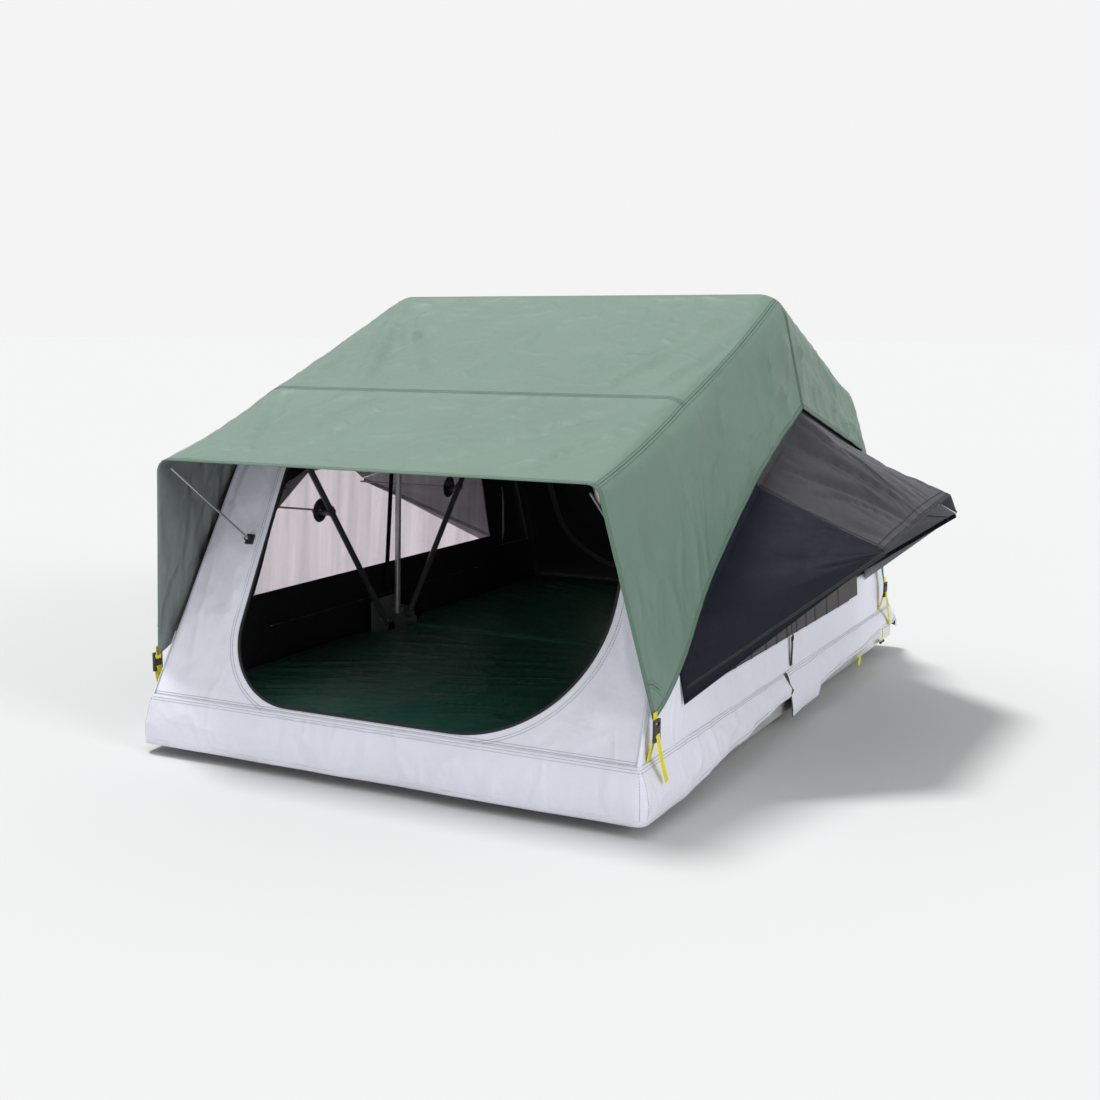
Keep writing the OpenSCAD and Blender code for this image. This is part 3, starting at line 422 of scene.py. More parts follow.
def ribbon_parts(path, normal, width, thick, closed):
    """Points, faces and UVs of one band."""
    n = len(path)
    normal = np.broadcast_to(unit(normal), path.shape)
    side = unit(np.cross(normal, unit(step_along(path, closed))))
    low, high = path - normal * SINK, path + normal * thick
    inset = min(width * 0.12, thick)
    verts = np.stack([low - side * width / 2, high - side * (width / 2 - inset),
                      high + side * (width / 2 - inset), low + side * width / 2], axis=1).reshape(-1, 3)
    step = arc_length(path)
    lines = [np.stack([step, np.full(n, share * width)], axis=1) for share in (0, 0.1, 0.9, 1)]
    faces = []
    for i in range(n if closed else n - 1):
        j = (i + 1) % n
        faces += [(4 * i + k, 4 * i + (k + 1) % 4, 4 * j + (k + 1) % 4, 4 * j + k) for k in range(4)]
    if not closed:
        faces += [(3, 2, 1, 0), tuple(range(4 * n - 4, 4 * n))]
    return verts, faces, np.stack(lines, axis=1).reshape(-1, 2)


def ribbons(name, runs, material):
    """One piece from several bands."""
    verts, faces, uvs, count = [], [], [], 0
    for run in runs:
        v, f, w = ribbon_parts(*run)
        faces += [tuple(k + count for k in face) for face in f]
        verts.append(v)
        uvs.append(w)
        count += len(v)
    slots = np.zeros(len(faces))
    return mesh_piece(name, np.concatenate(verts), faces, np.concatenate(uvs), slots, [material], 0)


def both_edges(runs, share=0.32):
    """Lines of points beside the edges of open bands, where their stitches go."""
    lines = []
    for path, normal, width, thick, closed in runs:
        side = unit(np.cross(normal, unit(step_along(path, closed))))
        lines += [path + side * width * share * way + normal * (thick + SINK) for way in (-1, 1)]
    return lines


print("tape is", TAPE * 1000, "mm thick")

# %% [markdown]
# ## Creases
# Coated cloth under tension does not ripple evenly. It has long soft ridges along the pull with calm
# patches between them. Ridged noise, stretched along the pull and faded out at seams and edges, gives
# that. A cloth simulation would need many tries to put the creases where the photograph shows them.

# %% Crease noise
TABLE = 89


def smooth_noise(x, y, seed):
    table = np.random.default_rng(seed).random((TABLE, TABLE)) * 2 - 1
    xi, yi = np.floor(x).astype(int), np.floor(y).astype(int)
    fx, fy = x - xi, y - yi
    fx, fy = fx * fx * (3 - 2 * fx), fy * fy * (3 - 2 * fy)
    a, b = table[xi % TABLE, yi % TABLE], table[(xi + 1) % TABLE, yi % TABLE]
    c, d = table[xi % TABLE, (yi + 1) % TABLE], table[(xi + 1) % TABLE, (yi + 1) % TABLE]
    return (a * (1 - fx) + b * fx) * (1 - fy) + (c * (1 - fx) + d * fx) * fy


def creases(across, along, seed):
    """Ridges that run along, about one for each unit across: -0.4 in calm patches and up to 1 on a ridge."""
    drift = 0.55 * smooth_noise(across * 0.5, along * 0.8, seed + 7)
    wide = 1 - np.abs(smooth_noise(across + drift, along, seed))
    thin = 1 - np.abs(smooth_noise(across * 2.3 + drift, along * 1.7, seed + 3))
    patch = 0.5 + 0.5 * smooth_noise(across * 0.35, along * 0.7, seed + 11)
    return (wide ** 4 + 0.45 * thin ** 5) * (0.35 + patch) - 0.4


def fade(t, start, end):
    """0 at the start and 1 from the end on, smoothly."""
    s = np.clip((t - start) / (end - start), 0, 1)
    return s * s * (3 - 2 * s)


def arch(t):
    """0 at both ends of 0 to 1 and 1 in the middle."""
    return np.sin(np.pi * t)


def displaced(grid, height, ring=False):
    return grid + grid_normals(grid, ring) * height[..., None]


print("creases at three places:", np.round(creases(np.arange(3) * 0.4, np.zeros(3), 5), 2))

# %% [markdown]
# ## Stitches
# A seam is a row of short threads. A Geometry Nodes tree resamples the seam's line and puts one thread on
# each point, turned along the line. The threads are then made real and turned into a plain mesh.


# %% Stitch tree
def stitch_tree():
    tree = bpy.data.node_groups.new("sewn_stitches", "GeometryNodeTree")
    kinds = {"Geometry": "Geometry", "Spacing": "Float", "Stitch length": "Float", "Thread radius": "Float",
             "Thread": "Material"}
    for name, kind in kinds.items():
        tree.interface.new_socket(name, in_out="INPUT", socket_type="NodeSocket" + kind)
    tree.interface.new_socket("Geometry", in_out="OUTPUT", socket_type="NodeSocketGeometry")
    g = NodeMaker(tree)
    given = g.add("NodeGroupInput").outputs
    line = g.add("GeometryNodeMeshToCurve", i0=given["Geometry"])
    even = g.add("GeometryNodeResampleCurve", {"mode": "LENGTH"}, Curve=line.outputs[0],
                 Length=given["Spacing"])
    thread = g.add("GeometryNodeMeshCylinder", Vertices=6, Radius=given["Thread radius"],
                   Depth=given["Stitch length"])
    tangent = g.add("GeometryNodeInputTangent")
    turn = g.add("FunctionNodeAlignRotationToVector", {"axis": "Z"}, Vector=tangent.outputs[0])
    row = g.add("GeometryNodeInstanceOnPoints", Points=even.outputs[0], Instance=thread.outputs["Mesh"],
                Rotation=turn.outputs[0])
    real = g.add("GeometryNodeRealizeInstances", i0=row.outputs[0])
    paint = g.add("GeometryNodeSetMaterial", Geometry=real.outputs[0], Material=given["Thread"])
    g.add("NodeGroupOutput", i0=paint.outputs[0])
    return tree


STITCHES = stitch_tree()
STITCH_SIZES = {"Spacing": 0.007, "Stitch length": 0.0048, "Thread radius": 0.0005}


def stitches(name, lines, thread):
    """One mesh of threads along several lines of points."""
    verts, edges = [], []
    for line in lines:
        first = len(verts)
        verts += [tuple(map(float, p)) for p in line]
        edges += [(k, k + 1) for k in range(first, len(verts) - 1)]
    mesh = bpy.data.meshes.new(name + "_line")
    mesh.from_pydata(verts, edges, [])
    piece = bpy.data.objects.new(name, mesh)
    bpy.context.scene.collection.objects.link(piece)
    modifier = piece.modifiers.new("stitches", "NODES")
    modifier.node_group = STITCHES
    values = {**STITCH_SIZES, "Thread": thread}
    for item in STITCHES.interface.items_tree:
        if item.in_out == "INPUT" and item.name in values:
            modifier[item.identifier] = values[item.name]
    sewn_mesh = bpy.data.meshes.new_from_object(piece.evaluated_get(bpy.context.evaluated_depsgraph_get()))
    piece.modifiers.clear()
    piece.data = sewn_mesh
    sewn_mesh.name = name
    return piece


def lifted(grid, normal, rows, columns, height=0.0009):
    """Line of points just above the cloth, along a row or a column of its grid."""
    return grid[rows, columns] + normal[rows, columns] * height


print("stitch nodes:", len(STITCHES.nodes))

# %% [markdown]
# ## How each piece moves
# Hard parts ride on their bodies, and cloth rides too. Most cloth pieces also carry a setting for how they
# would flatten as the base halves close, as the real cloth gathers between them: the tent down towards the
# hinge, the awnings along their length, the door onto its wall, and the mattress under the load. Such a
# piece only gets its own copy of its mesh here, and nothing flattens it. The skirts stay as they are, round
# their own half.

# %% Riding, with fold settings
FOLD_HEIGHT = 0.186
GATHER = ((0, 0, 1), (0, 0, FOLD_HEIGHT), 0.015)
LOW_GATHER = ((0, 0, 1), (0, 0, BASE_TOP), 0.45)
SIDE_GATHER = ((0, 1, 0), (0, 0, 0.89), 0.03)
DOOR_FLAT = (tuple(OUT_WALL), tuple(on_wall((0, 0))), 0.05)
PRESSED = ((0, 0, 1), (0, 0, BASE_TOP), 0.78)


def settle(piece, body, replaced=(), fold=None):
    """Rides on a body. fold is None, or (axis, anchor, keep) for cloth that would gather as the base closes;
    only whether it is given is used, to give the piece its own mesh, and nothing gathers it here.
    """
    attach(piece, body)
    if replaced:
        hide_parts(*replaced)
    if fold:
        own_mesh(piece)
    return piece


def taped(name, runs, finish, body, replaced=(), fold=None):
    return settle(ribbons(name, runs, finish), body, replaced, fold)


def sewn(name, lines, thread, body, fold=None):
    return settle(stitches(name, lines, thread), body, (), fold)


print("cloth gathers at", FOLD_HEIGHT, "m above the ground")

# %% [markdown]
# ## The flysheet
# The flysheet is one curved sheet: flat over the bows, rounded over their bends, and pulled down at the
# sides to a deep cut over the window. Each cross section is laid out in turn, from the ridge to the
# canopy's edge, because that keeps the roof's curve and the cut of the edge apart.

# %% Cross section of the flysheet
ROOF_POINTS, BEND_POINTS, SIDE_POINTS = 30, 12, 46
BEND_TURN = np.radians(np.linspace(90, 8, BEND_POINTS))


def fly_section(y, z, flat_half, bend, edge, fall=(0.0, 1.0)):
    """One line across the cloth, left to right. fall is how far out and down the shoulder goes."""
    roof = np.array([(x, y, z) for x in np.linspace(0, flat_half, ROOF_POINTS)[:-1]])
    drop = bend * (1 - np.sin(BEND_TURN))
    turn = np.stack([flat_half + bend * np.cos(BEND_TURN), y + drop * fall[0], z - drop * fall[1]], axis=1)
    t = np.linspace(0, 1, SIDE_POINTS)[1:, None]
    right = np.concatenate([roof, turn, turn[-1] + (edge - turn[-1]) * t])
    return np.concatenate([right[:0:-1] * MIRROR, right])


def smooth_line(knots, t):
    """Values at t on a smooth line through (t, value) knots."""
    knots = np.asarray(knots, float)
    x, y = knots[:, 0], knots[:, 1:]
    slope = np.gradient(y, x, axis=0)
    i = np.clip(np.searchsorted(x, t, side="right") - 1, 0, len(x) - 2)
    h = x[i + 1] - x[i]
    s = (t - x[i]) / h
    a, b = 2 * s ** 3 - 3 * s ** 2 + 1, s ** 3 - 2 * s ** 2 + s
    return a * y[i] + b * h * slope[i] + (1 - a) * y[i + 1] + (s ** 3 - s ** 2) * h * slope[i + 1]


print("points in a section:", 2 * (ROOF_POINTS + BEND_POINTS + SIDE_POINTS) - 5)

# %% [markdown]
# The roof rolls over the ridge bar, sags a little on its way down to a bow, and its shoulders pull in
# between the bars, where nothing holds them up.

# %% Line of the roof
LIFT = 0.0112
ROLL_SHARE = 0.02
ROOF_SAG, CANOPY_SAG = 0.014, 0.010
ROOF_TILT = math.atan((RIDGE_Z - BOW_Z) / BOW_Y)
RIDGE_ROW = np.array([LIFT * math.sin(ROOF_TILT), RIDGE_Z + LIFT * math.cos(ROOF_TILT)])
BOW_ROW = np.array([BOW_Y + LIFT * math.sin(ROOF_TILT), BOW_Z + LIFT])
CANOPY_ROW = np.array([1.134, 0.7835])
FLAT, BEND = 0.570, 0.084
CANOPY_FLAT, CANOPY_BEND = 0.585, 0.034
ROOF_SHARES = np.concatenate([[0, ROLL_SHARE / 2, ROLL_SHARE], np.linspace(0.05, 1, 46)])
BOW_INDEX = len(ROOF_SHARES) - 1


def sagging(start, end, t, sag):
    return start + (end - start) * t - np.array([0, sag * 4 * t * (1 - t)])


def roof_line(u):
    """Distance from the ridge line and height of the roof: 0 at the ridge and 1 at a bow."""
    if u < ROLL_SHARE:
        turn = ROOF_TILT * u / ROLL_SHARE
        return np.array([LIFT * math.sin(turn), RIDGE_Z + LIFT * math.cos(turn)])
    return sagging(RIDGE_ROW, BOW_ROW, (u - ROLL_SHARE) / (1 - ROLL_SHARE), ROOF_SAG)


def shoulder(u):
    """Flat half width and bend radius of the roof: round over the bars, sharper between them."""
    slack = math.sin(math.pi * min(max(u, 0.0), 1.0)) ** 0.8
    bend = BEND - 0.046 * slack
    return FLAT + BEND - 0.012 * slack - bend, bend


def roof_rows(end, edge_at):
    """Sections from the ridge to a bow: end is -1 at the front and 1 at the rear."""
    rows = []
    for u in ROOF_SHARES:
        y, z = roof_line(u)
        rows.append(fly_section(end * y, z, *shoulder(u), edge_at(u)))
    return rows


print("roof slopes at", round(math.degrees(ROOF_TILT), 1), "degrees")

# %% [markdown]
# In front, the side edge runs from above the window down to a tip that is tied near the corner of the
# base, and the roof goes on past the bow as a canopy over the door. The edge is a smooth line through a
# few places.

# %% Front half of the flysheet
SIDE_CUT = [(0, 0.708, 0.0, 0.896), (0.22, 0.7085, -0.235, 0.798), (0.38, 0.709, -0.400, 0.713),
            (0.56, 0.710, -0.590, 0.592), (0.71, 0.711, -0.743, 0.476), (0.80, 0.713, -0.845, 0.372),
            (0.90, 0.715, -0.945, 0.297), (1.0, 0.716, -1.050, 0.250)]
CUT_AT_BOW = 0.60
CANOPY_KNOTS = ([0, 0.45, 0.75, 1], [CUT_AT_BOW, 0.705, 0.80, 1.0])


def front_fly_grid():
    rows = roof_rows(-1, lambda u: smooth_line(SIDE_CUT, CUT_AT_BOW * u))
    for t in np.linspace(0, 1, 46)[1:]:
        y, z = sagging(BOW_ROW, CANOPY_ROW, t, CANOPY_SAG)
        edge = smooth_line(SIDE_CUT, float(np.interp(t, *CANOPY_KNOTS)))
        flat_half, bend = FLAT + (CANOPY_FLAT - FLAT) * t, BEND + (CANOPY_BEND - BEND) * t
        rows.append(fly_section(-y, z, flat_half, bend, edge))
    return np.array(rows)


front_flat = front_fly_grid()
MIDDLE = front_flat.shape[1] // 2
RIM = MIDDLE - (ROOF_POINTS - 1) - 5
print("front flysheet grid:", front_flat.shape)

# %% [markdown]
# The rear half mirrors the front as far as its bow. Past it the cloth drops down the rear wall, standing
# a little off it, and runs out to a tie at each corner.

# %% Rear half of the flysheet
REAR_TOP = np.array(SIDE_CUT[0][1:])
REAR_EDGE = np.array([0.700, BOW_Y, 0.733])
REAR_TIP = np.array([0.716, 0.955, 0.250])
REAR_OFF, REAR_FLARE, REAR_DROP, REAR_WIDEN = 0.0144, 0.030, 0.350, 0.036


def rear_fly_grid():
    rows = roof_rows(1, lambda u: REAR_TOP + (REAR_EDGE - REAR_TOP) * u)
    cosine, sine = math.cos(END_SLOPE), math.sin(END_SLOPE)
    slope, out = np.array([cosine, -sine]), np.array([sine, cosine])
    for t in np.linspace(0, 1, 26):
        y, z = np.array([BOW_Y, BOW_Z]) + (REAR_OFF + REAR_FLARE * t) * out + REAR_DROP * t * slope
        edge = REAR_EDGE + (REAR_TIP - REAR_EDGE) * (0.06 + 0.94 * t)
        rows.append(fly_section(y, z, FLAT + REAR_WIDEN * t, BEND, edge, (cosine, sine)))
    return np.array(rows)[:, ::-1]


rear_flat = rear_fly_grid()
print("rear flysheet grid:", rear_flat.shape)

# %% [markdown]
# A few long ridges cross the roof between the bars, from one held place to another, as the cloth is
# pulled askew. They are listed by where they start and end, because the photograph shows each of them.

# %% Pulled ridges of the roof
PULLS = [(-0.60, 0.02, -0.34, 0.69, 0.016, 0.0050), (-0.61, 0.04, -0.55, 0.68, 0.013, 0.0040),
         (-0.58, 0.05, -0.16, 0.66, 0.022, 0.0030), (0.52, 0.20, 0.35, 0.69, 0.018, 0.0040),
         (0.59, 0.30, 0.50, 0.69, 0.014, 0.0045), (0.60, 0.06, 0.20, 0.60, 0.024, 0.0028),
         (0.03, 0.18, -0.10, 0.67, 0.024, 0.0026), (0.60, 0.74, 0.36, 1.17, 0.020, 0.0032),
         (0.46, 0.74, 0.10, 1.17, 0.026, 0.0024), (-0.60, 0.74, -0.40, 1.16, 0.018, 0.0034),
         (-0.20, 0.76, -0.32, 1.16, 0.024, 0.0022)]


def pulled_lines(x, v):
    """Height of the ridges: each has two places, as (x, distance from the ridge), a width and a rise."""
    height = np.zeros_like(x)
    for x0, v0, x1, v1, width, rise in PULLS:
        length = math.hypot(x1 - x0, v1 - v0)
        along = ((x - x0) * (x1 - x0) + (v - v0) * (v1 - v0)) / length ** 2
        off = ((x - x0) * (v1 - v0) - (v - v0) * (x1 - x0)) / length
        hold = fade(along, 0.0, 0.15) * (1 - fade(along, 0.8, 1.0))
        dip = 0.5 * np.exp(-((off - 2 * width) / width) ** 2)
        height += rise * hold * (np.exp(-(off / width) ** 2) - dip)
    return height


print("pulled ridges:", len(PULLS))

# %% [markdown]
# On the roof the creases run down the slope, with small gathers at the bow's seam. On the side panels
# they run from the shoulder to the edge, and small puckers follow the shoulder seam. Each kind has its
# own weight over the grid, and the weights fade where the cloth is held.

# %% Creases of the flysheet
PULL_GAIN = 2.2
SIDE_CREASE = 0.0130


def fly_creases(grid, seed, reach):
    """Height of the creases on one half of the flysheet, calm at its ridge and at a reach from it."""
    m = grid.shape[1]
    x = grid[..., 0]
    v = grid_lengths(grid)[1]
    column = np.abs(np.arange(m) - m // 2)[None, :] / (m // 2)
    bend_at = (ROOF_POINTS + 6) / (m // 2)
    roof = 1 - fade(column, bend_at - 0.16, bend_at)
    near_side = fade(np.abs(x), 0.1, 0.6)
    gather, bow = np.exp(-((v - 0.70) / 0.05) ** 2), np.exp(-((v - 0.715) / 0.02) ** 2)
    on_roof = creases(x * 9.0 + v * 2.5, v * 1.3, seed) * (0.0034 + 0.0066 * near_side) * roof
    on_roof = on_roof + PULL_GAIN * pulled_lines(x, v) * roof
    on_roof = on_roof + creases(x * 24.0, v * 6.0, seed + 60) * 0.0018 * gather * roof
    panel = fade(column, bend_at - 0.02, bend_at + 0.2) * (1 - 0.8 * fade(column, 0.9, 1.0))
    on_side_panel = creases(v * 8.5 + np.sign(x) * 3, column * 3.2 + 40, seed + 20) + 0.25
    pucker = creases(v * 22.0, column * 9.0, seed + 40) * 0.0026 * np.exp(-((column - bend_at) / 0.07) ** 2)
    ends = fade(v, 0.0, 0.05) * (1 - fade(v, reach - 0.05, reach))
    return (on_roof * (1 - bow) + on_side_panel * SIDE_CREASE * panel + pucker) * ends


FLY = {}
for half, flat, seed, reach in (("front", front_flat, 5, 1.22), ("rear", rear_flat, 9, 1.05)):
    grid = displaced(flat, fly_creases(flat, seed, reach))
    cloth = sheet_piece(half + "_flysheet", grid, FLY_OUT, FLY_IN)
    settle(cloth, half + "_base", [half + "_fly"], GATHER)
    FLY[half] = cloth, flat, grid
    print(half, "flysheet faces:", len(cloth.data.polygons))

# %% [markdown]
# The flysheet is sewn from panels. A seam crosses the roof over each bow, one follows each shoulder, and
# a hem tape runs round every free edge. The tapes are thin bands on the cloth, with threads along both
# their edges. The seam bands are dark green as painted shade, for the shadow in each seam's fold.

# %% Seams and hems of the flysheet
SEAM_BAND, TIP_BAND, HEM_BAND = (0.0032, 0.0007), (0.0035, 0.0008), (0.016, 0.0009)
TIP_DROP, TIP_ROWS = 0.085, 30


def seam_runs(grid, normal):
    last = grid.shape[1] - 1
    places = [(BOW_INDEX, slice(RIM, last - RIM + 1)), (slice(None), RIM), (slice(None), last - RIM),
              (0, slice(0, RIM + 1)), (0, slice(last - RIM, last + 1))]
    return [band(grid[place], normal[place], *SEAM_BAND) for place in places]


def tip_runs(grid, normal):
    """Seam across each tip of the canopy's cheeks, at one distance from the tip."""
    runs = []
    for turn in (1, -1):
        line, facing = grid[-TIP_ROWS:, ::turn][:, :SIDE_POINTS], normal[-TIP_ROWS:, ::turn][:, :SIDE_POINTS]
        far = np.linalg.norm(line - line[-1, 0], axis=2)
        rows = [k for k in range(TIP_ROWS) if far[k].min() < TIP_DROP < far[k].max()]
        columns = [int(np.argmin(np.abs(far[k] - TIP_DROP))) for k in rows]
        if len(rows) > 3:
            runs.append(band(line[rows, columns], facing[rows, columns], *TIP_BAND))
    return runs


def hem_runs(grid, normal):
    runs = []
    for path, side, inward in ((grid[:, 0], normal[:, 0], grid[:, 2] - grid[:, 0]),
                               (grid[:, -1], normal[:, -1], grid[:, -3] - grid[:, -1]),
                               (grid[-1], normal[-1], grid[-3] - grid[-1])):
        inward = unit(inward - side * np.sum(inward * side, axis=1, keepdims=True))
        runs.append(band(path + inward * HEM_BAND[0] * 0.5, side, *HEM_BAND))
    return runs


for half, (cloth, flat, grid) in FLY.items():
    body, normal = half + "_base", grid_normals(grid)
    hems, seams = hem_runs(grid, normal), seam_runs(grid, normal) + tip_runs(grid, normal)
    tapes = taped(half + "_flysheet_hems", hems, FLY_HEM, body, fold=GATHER)
    # The seam bands are coloured dark as painted shade of each seam's fold.
    folds = taped(half + "_flysheet_seams", seams, FLY_SEAM_PAINTED_SHADE, body, fold=GATHER)
    rows = both_edges(hems) + both_edges(seams, 2.2)
    threads = sewn(half + "_flysheet_stitches", rows, GREEN_THREAD, body, GATHER)

# %% [markdown]
# ## The end walls
# Each end wall is one sloping panel with a large rounded opening. Rings of points run from the opening's
# edge out to the wall's edge, so the cloth can crease round the opening without a cut in the mesh. A
# boolean cut would leave long thin faces there.


# %% Panel with an opening
def opening_outline(left, right, low, high, corners, count=24):
    """Outline from the lower left corner, anticlockwise, with one radius for each corner."""
    a, b, c, d = corners
    points = []
    for cx, cy, start, r in ((left + a, low + a, 180, a), (right - b, low + b, 270, b),
                             (right - c, high - c, 0, c), (left + d, high - d, 90, d)):
        for turn in np.radians(np.linspace(start, start + 90, count)):
            points.append((cx + r * math.cos(turn), cy + r * math.sin(turn)))
    return np.array(points)


def looped(points):
    return np.vstack([points, points[:1]])


def resampled(outline, count):
    closed = looped(outline)
    return at_lengths(closed, np.linspace(0, arc_length(closed)[-1], count, endpoint=False))


def cast_out(centre, points, outline):
    """Where rays from the centre through the points meet an outline round them."""
    edge = np.roll(outline, -1, axis=0) - outline
    rel = outline - centre
    hits = []
    for d in points - centre:
        cross = d[0] * edge[:, 1] - d[1] * edge[:, 0]
        with np.errstate(divide="ignore", invalid="ignore"):
            t = (rel[:, 0] * edge[:, 1] - rel[:, 1] * edge[:, 0]) / cross
            s = (rel[:, 0] * d[1] - rel[:, 1] * d[0]) / cross
        good = (s >= -1e-9) & (s <= 1 + 1e-9) & (t > 0)
        hits.append(centre + d * t[good].min())
    return np.array(hits)


def ring_panel(hole, outline, count, rings=26):
    """Rings of points from a hole's edge to the outline, with a point at each of the outline's corners."""
    inner = resampled(hole, count)
    outer = cast_out((hole.max(axis=0) + hole.min(axis=0)) / 2, inner, outline)
    for corner in outline:
        outer[np.argmin(np.linalg.norm(outer - corner, axis=1))] = corner
    t = np.linspace(0, 1, rings)[:, None, None]
    return inner[None] * (1 - t) + outer[None] * t


def grown(outline, by):
    """An outline moved outwards, square to its own edge."""
    along = step_along(outline, True)
    return outline + unit(np.stack([along[:, 1], -along[:, 0]], axis=1)) * by


print("panel helper ready")

# %% [markdown]
# The door wall is pale outside and black inside. Its creases run up the wall and aslant, and they are
# calm along the doorway, the foot and the outer edges, where the cloth is sewn.

# %% Door wall
DOOR_LEFT, DOOR_RIGHT, DOOR_SILL, DOOR_HEAD = 0.480, 0.560, 0.017, 0.790
DOOR_CORNERS = (0.210, 0.350, 0.150, 0.150)
WALL_HEAD, HEAD_HALF = 0.889, 0.552
WALL_SHOULDER = WALL_HEAD - 0.100


def wall_half(rise, inset=0.003):
    return side_x(SEAM_Z + rise * math.sin(END_SLOPE)) - inset


def wall_creases(panel, hole, seed):
    x, rise = panel[..., 0], panel[..., 1]
    rings = np.linspace(0, 1, panel.shape[0])[:, None]
    edge = resampled(hole, 160)
    far = np.min(np.linalg.norm(panel[:, :, None] - edge[None, None], axis=3), axis=2)
    hold = fade(far, 0.020, 0.055) * fade(rise, 0.026, 0.075) * (1 - fade(rings, 0.90, 1.0))
    upright = creases(x * 9, rise * 2.2, seed) * 0.0072
    slant = creases((x + rise) * 7, (x - rise) * 1.6, seed + 5) * 0.0090
    return (upright + slant) * hold


right_edge = np.array([(wall_half(0), 0.0), (wall_half(WALL_SHOULDER, 0.009), WALL_SHOULDER),
                       (HEAD_HALF, WALL_HEAD)])
wall_edge = np.vstack([right_edge, right_edge[::-1] * MIRROR[:2]])
door_edge = opening_outline(-DOOR_LEFT, DOOR_RIGHT, DOOR_SILL, DOOR_HEAD, DOOR_CORNERS)
door_panel = ring_panel(door_edge, wall_edge, 360)
door_grid = on_wall(door_panel, wall_creases(door_panel, door_edge, 31))
door_wall = sheet_piece("door_wall_cloth", door_grid, WALL_OUT, WALL_IN, ring=True)
settle(door_wall, "door_wall", ["front_wall"], DOOR_FLAT)
print("doorway:", round(DOOR_LEFT + DOOR_RIGHT, 2), "by", round(DOOR_HEAD - DOOR_SILL, 2), "m")

# %% [markdown]
# A black tape binds the doorway's raw edge. Two rows of stitches hold the facing behind it, and two more
# run along the foot of the wall.

# %% Door binding and stitches
ON_CLOTH = 0.0012
FOOT_HALF = 0.69


def wall_rows(outlines, rises, out=ON_CLOTH):
    """Lines of stitches round an opening, at a distance out, and along the foot of a wall."""
    rows = [on_wall(looped(outline), out) for outline in outlines]
    return rows + [on_wall([(-FOOT_HALF, rise), (FOOT_HALF, rise)], ON_CLOTH) for rise in rises]


edge_line = resampled(door_edge, 300)
binding_run = band(on_wall(grown(edge_line, 0.0005), -0.0021), OUT_WALL, 0.0085, 0.0042, True)
binding = taped("door_binding_tape", [binding_run], DARK_TAPE, "door_wall", ["door_binding"],
                DOOR_FLAT)
door_rows = wall_rows([grown(edge_line, 0.020), grown(edge_line, 0.027)], (0.005, 0.011))
door_threads = sewn("door_wall_stitches", door_rows, GREY_THREAD, "door_wall", DOOR_FLAT)

# %% [markdown]
# ## The rear wall and its window
# The rear wall has the same slope and outline, so it is the front wall turned round, with a smaller
# opening. Its window is a net panel in a taped frame.

# %% Rear wall
BACK = np.array([1.0, -1.0, 1.0])
PANE_HALF, PANE_LOW, PANE_HIGH = 0.360, 0.330, 0.700
OVERLAP = 0.002
REAR_CALM = 0.45
rear_hole = opening_outline(-PANE_HALF, PANE_HALF, PANE_LOW, PANE_HIGH, (0.060,) * 4)
rear_panel = ring_panel(rear_hole, wall_edge, 300)
rear_wall_grid = (on_wall(rear_panel, REAR_CALM * wall_creases(rear_panel, rear_hole, 57)) * BACK)[:, ::-1]
rear_wall = sheet_piece("rear_wall_cloth", rear_wall_grid, WALL_OUT, WALL_IN, ring=True)
settle(rear_wall, "rear_base", ["rear_wall"], GATHER)

net_x, net_rise = np.meshgrid(np.linspace(-PANE_HALF - OVERLAP, PANE_HALF + OVERLAP, 60),
                              np.linspace(PANE_LOW - OVERLAP, PANE_HIGH + OVERLAP, 32))
net_hang = 0.0014 * creases(net_x * 12, net_rise * 2, 71) - 0.0022
rear_net_grid = on_wall(np.stack([net_x, net_rise], axis=2), net_hang) * BACK
rear_net = sheet_piece("rear_window_net", rear_net_grid, PANE_NET, PANE_NET, thick=0.0006)
settle(rear_net, "rear_base", ["rear_window_mesh"], GATHER)
print("rear window:", 2 * PANE_HALF, "by", round(PANE_HIGH - PANE_LOW, 2), "m")

# %% [markdown]
# Tape frames the window outside. Inside, a zip curves round below the window and four straps hang over
# it, all dark against the pale light that comes through.

# %% Tapes of the rear wall
frame_line = resampled(rear_hole, 200)
frame_path = on_wall(grown(frame_line, 0.006), 0.0006) * BACK
rear_binding = taped("rear_window_tape", [band(frame_path[::-1], OUT_WALL * BACK, 0.018, 0.0012, True)],
                     DARK_TAPE, "rear_base", fold=GATHER)
rear_rows = [row * BACK for row in wall_rows([grown(frame_line, 0.020)], (0.012, 0.019), 0.0013)]
rear_threads = sewn("rear_wall_stitches", rear_rows, GREY_THREAD, "rear_base", GATHER)
ZIP_HALF = [(0, -0.52, 0.62), (0.12, -0.535, 0.42), (0.25, -0.50, 0.20), (0.34, -0.38, 0.09)]
zip_knots = ZIP_HALF + [(0.5, 0, 0.07)] + [(1 - t, -x, rise) for t, x, rise in ZIP_HALF[::-1]]
inner_lines = [np.array([smooth_line(zip_knots, t) for t in np.linspace(0, 1, 80)])]
strap_rises = np.linspace(0.74, 0.30, 20)
inner_lines += [np.array([(x, rise) for rise in strap_rises]) for x in (-0.33, -0.11, 0.11, 0.33)]
inner_runs = [band(on_wall(line, -0.0085) * BACK, -OUT_WALL * BACK, 0.024, 0.0012) for line in inner_lines]
taped("rear_wall_inner_tapes", inner_runs, INNER_TAPE, "rear_base", fold=GATHER)

# %% [markdown]
# ## The side walls
# Each side has a pale lower wall, a black upper wall and a net window. Each half of the tent has its own
# pieces, because they part at the hinge line. Each panel is spanned between two lines on the side wall, a
# lower and an upper one or the window's edge and the outer edge, because its rows then follow both.

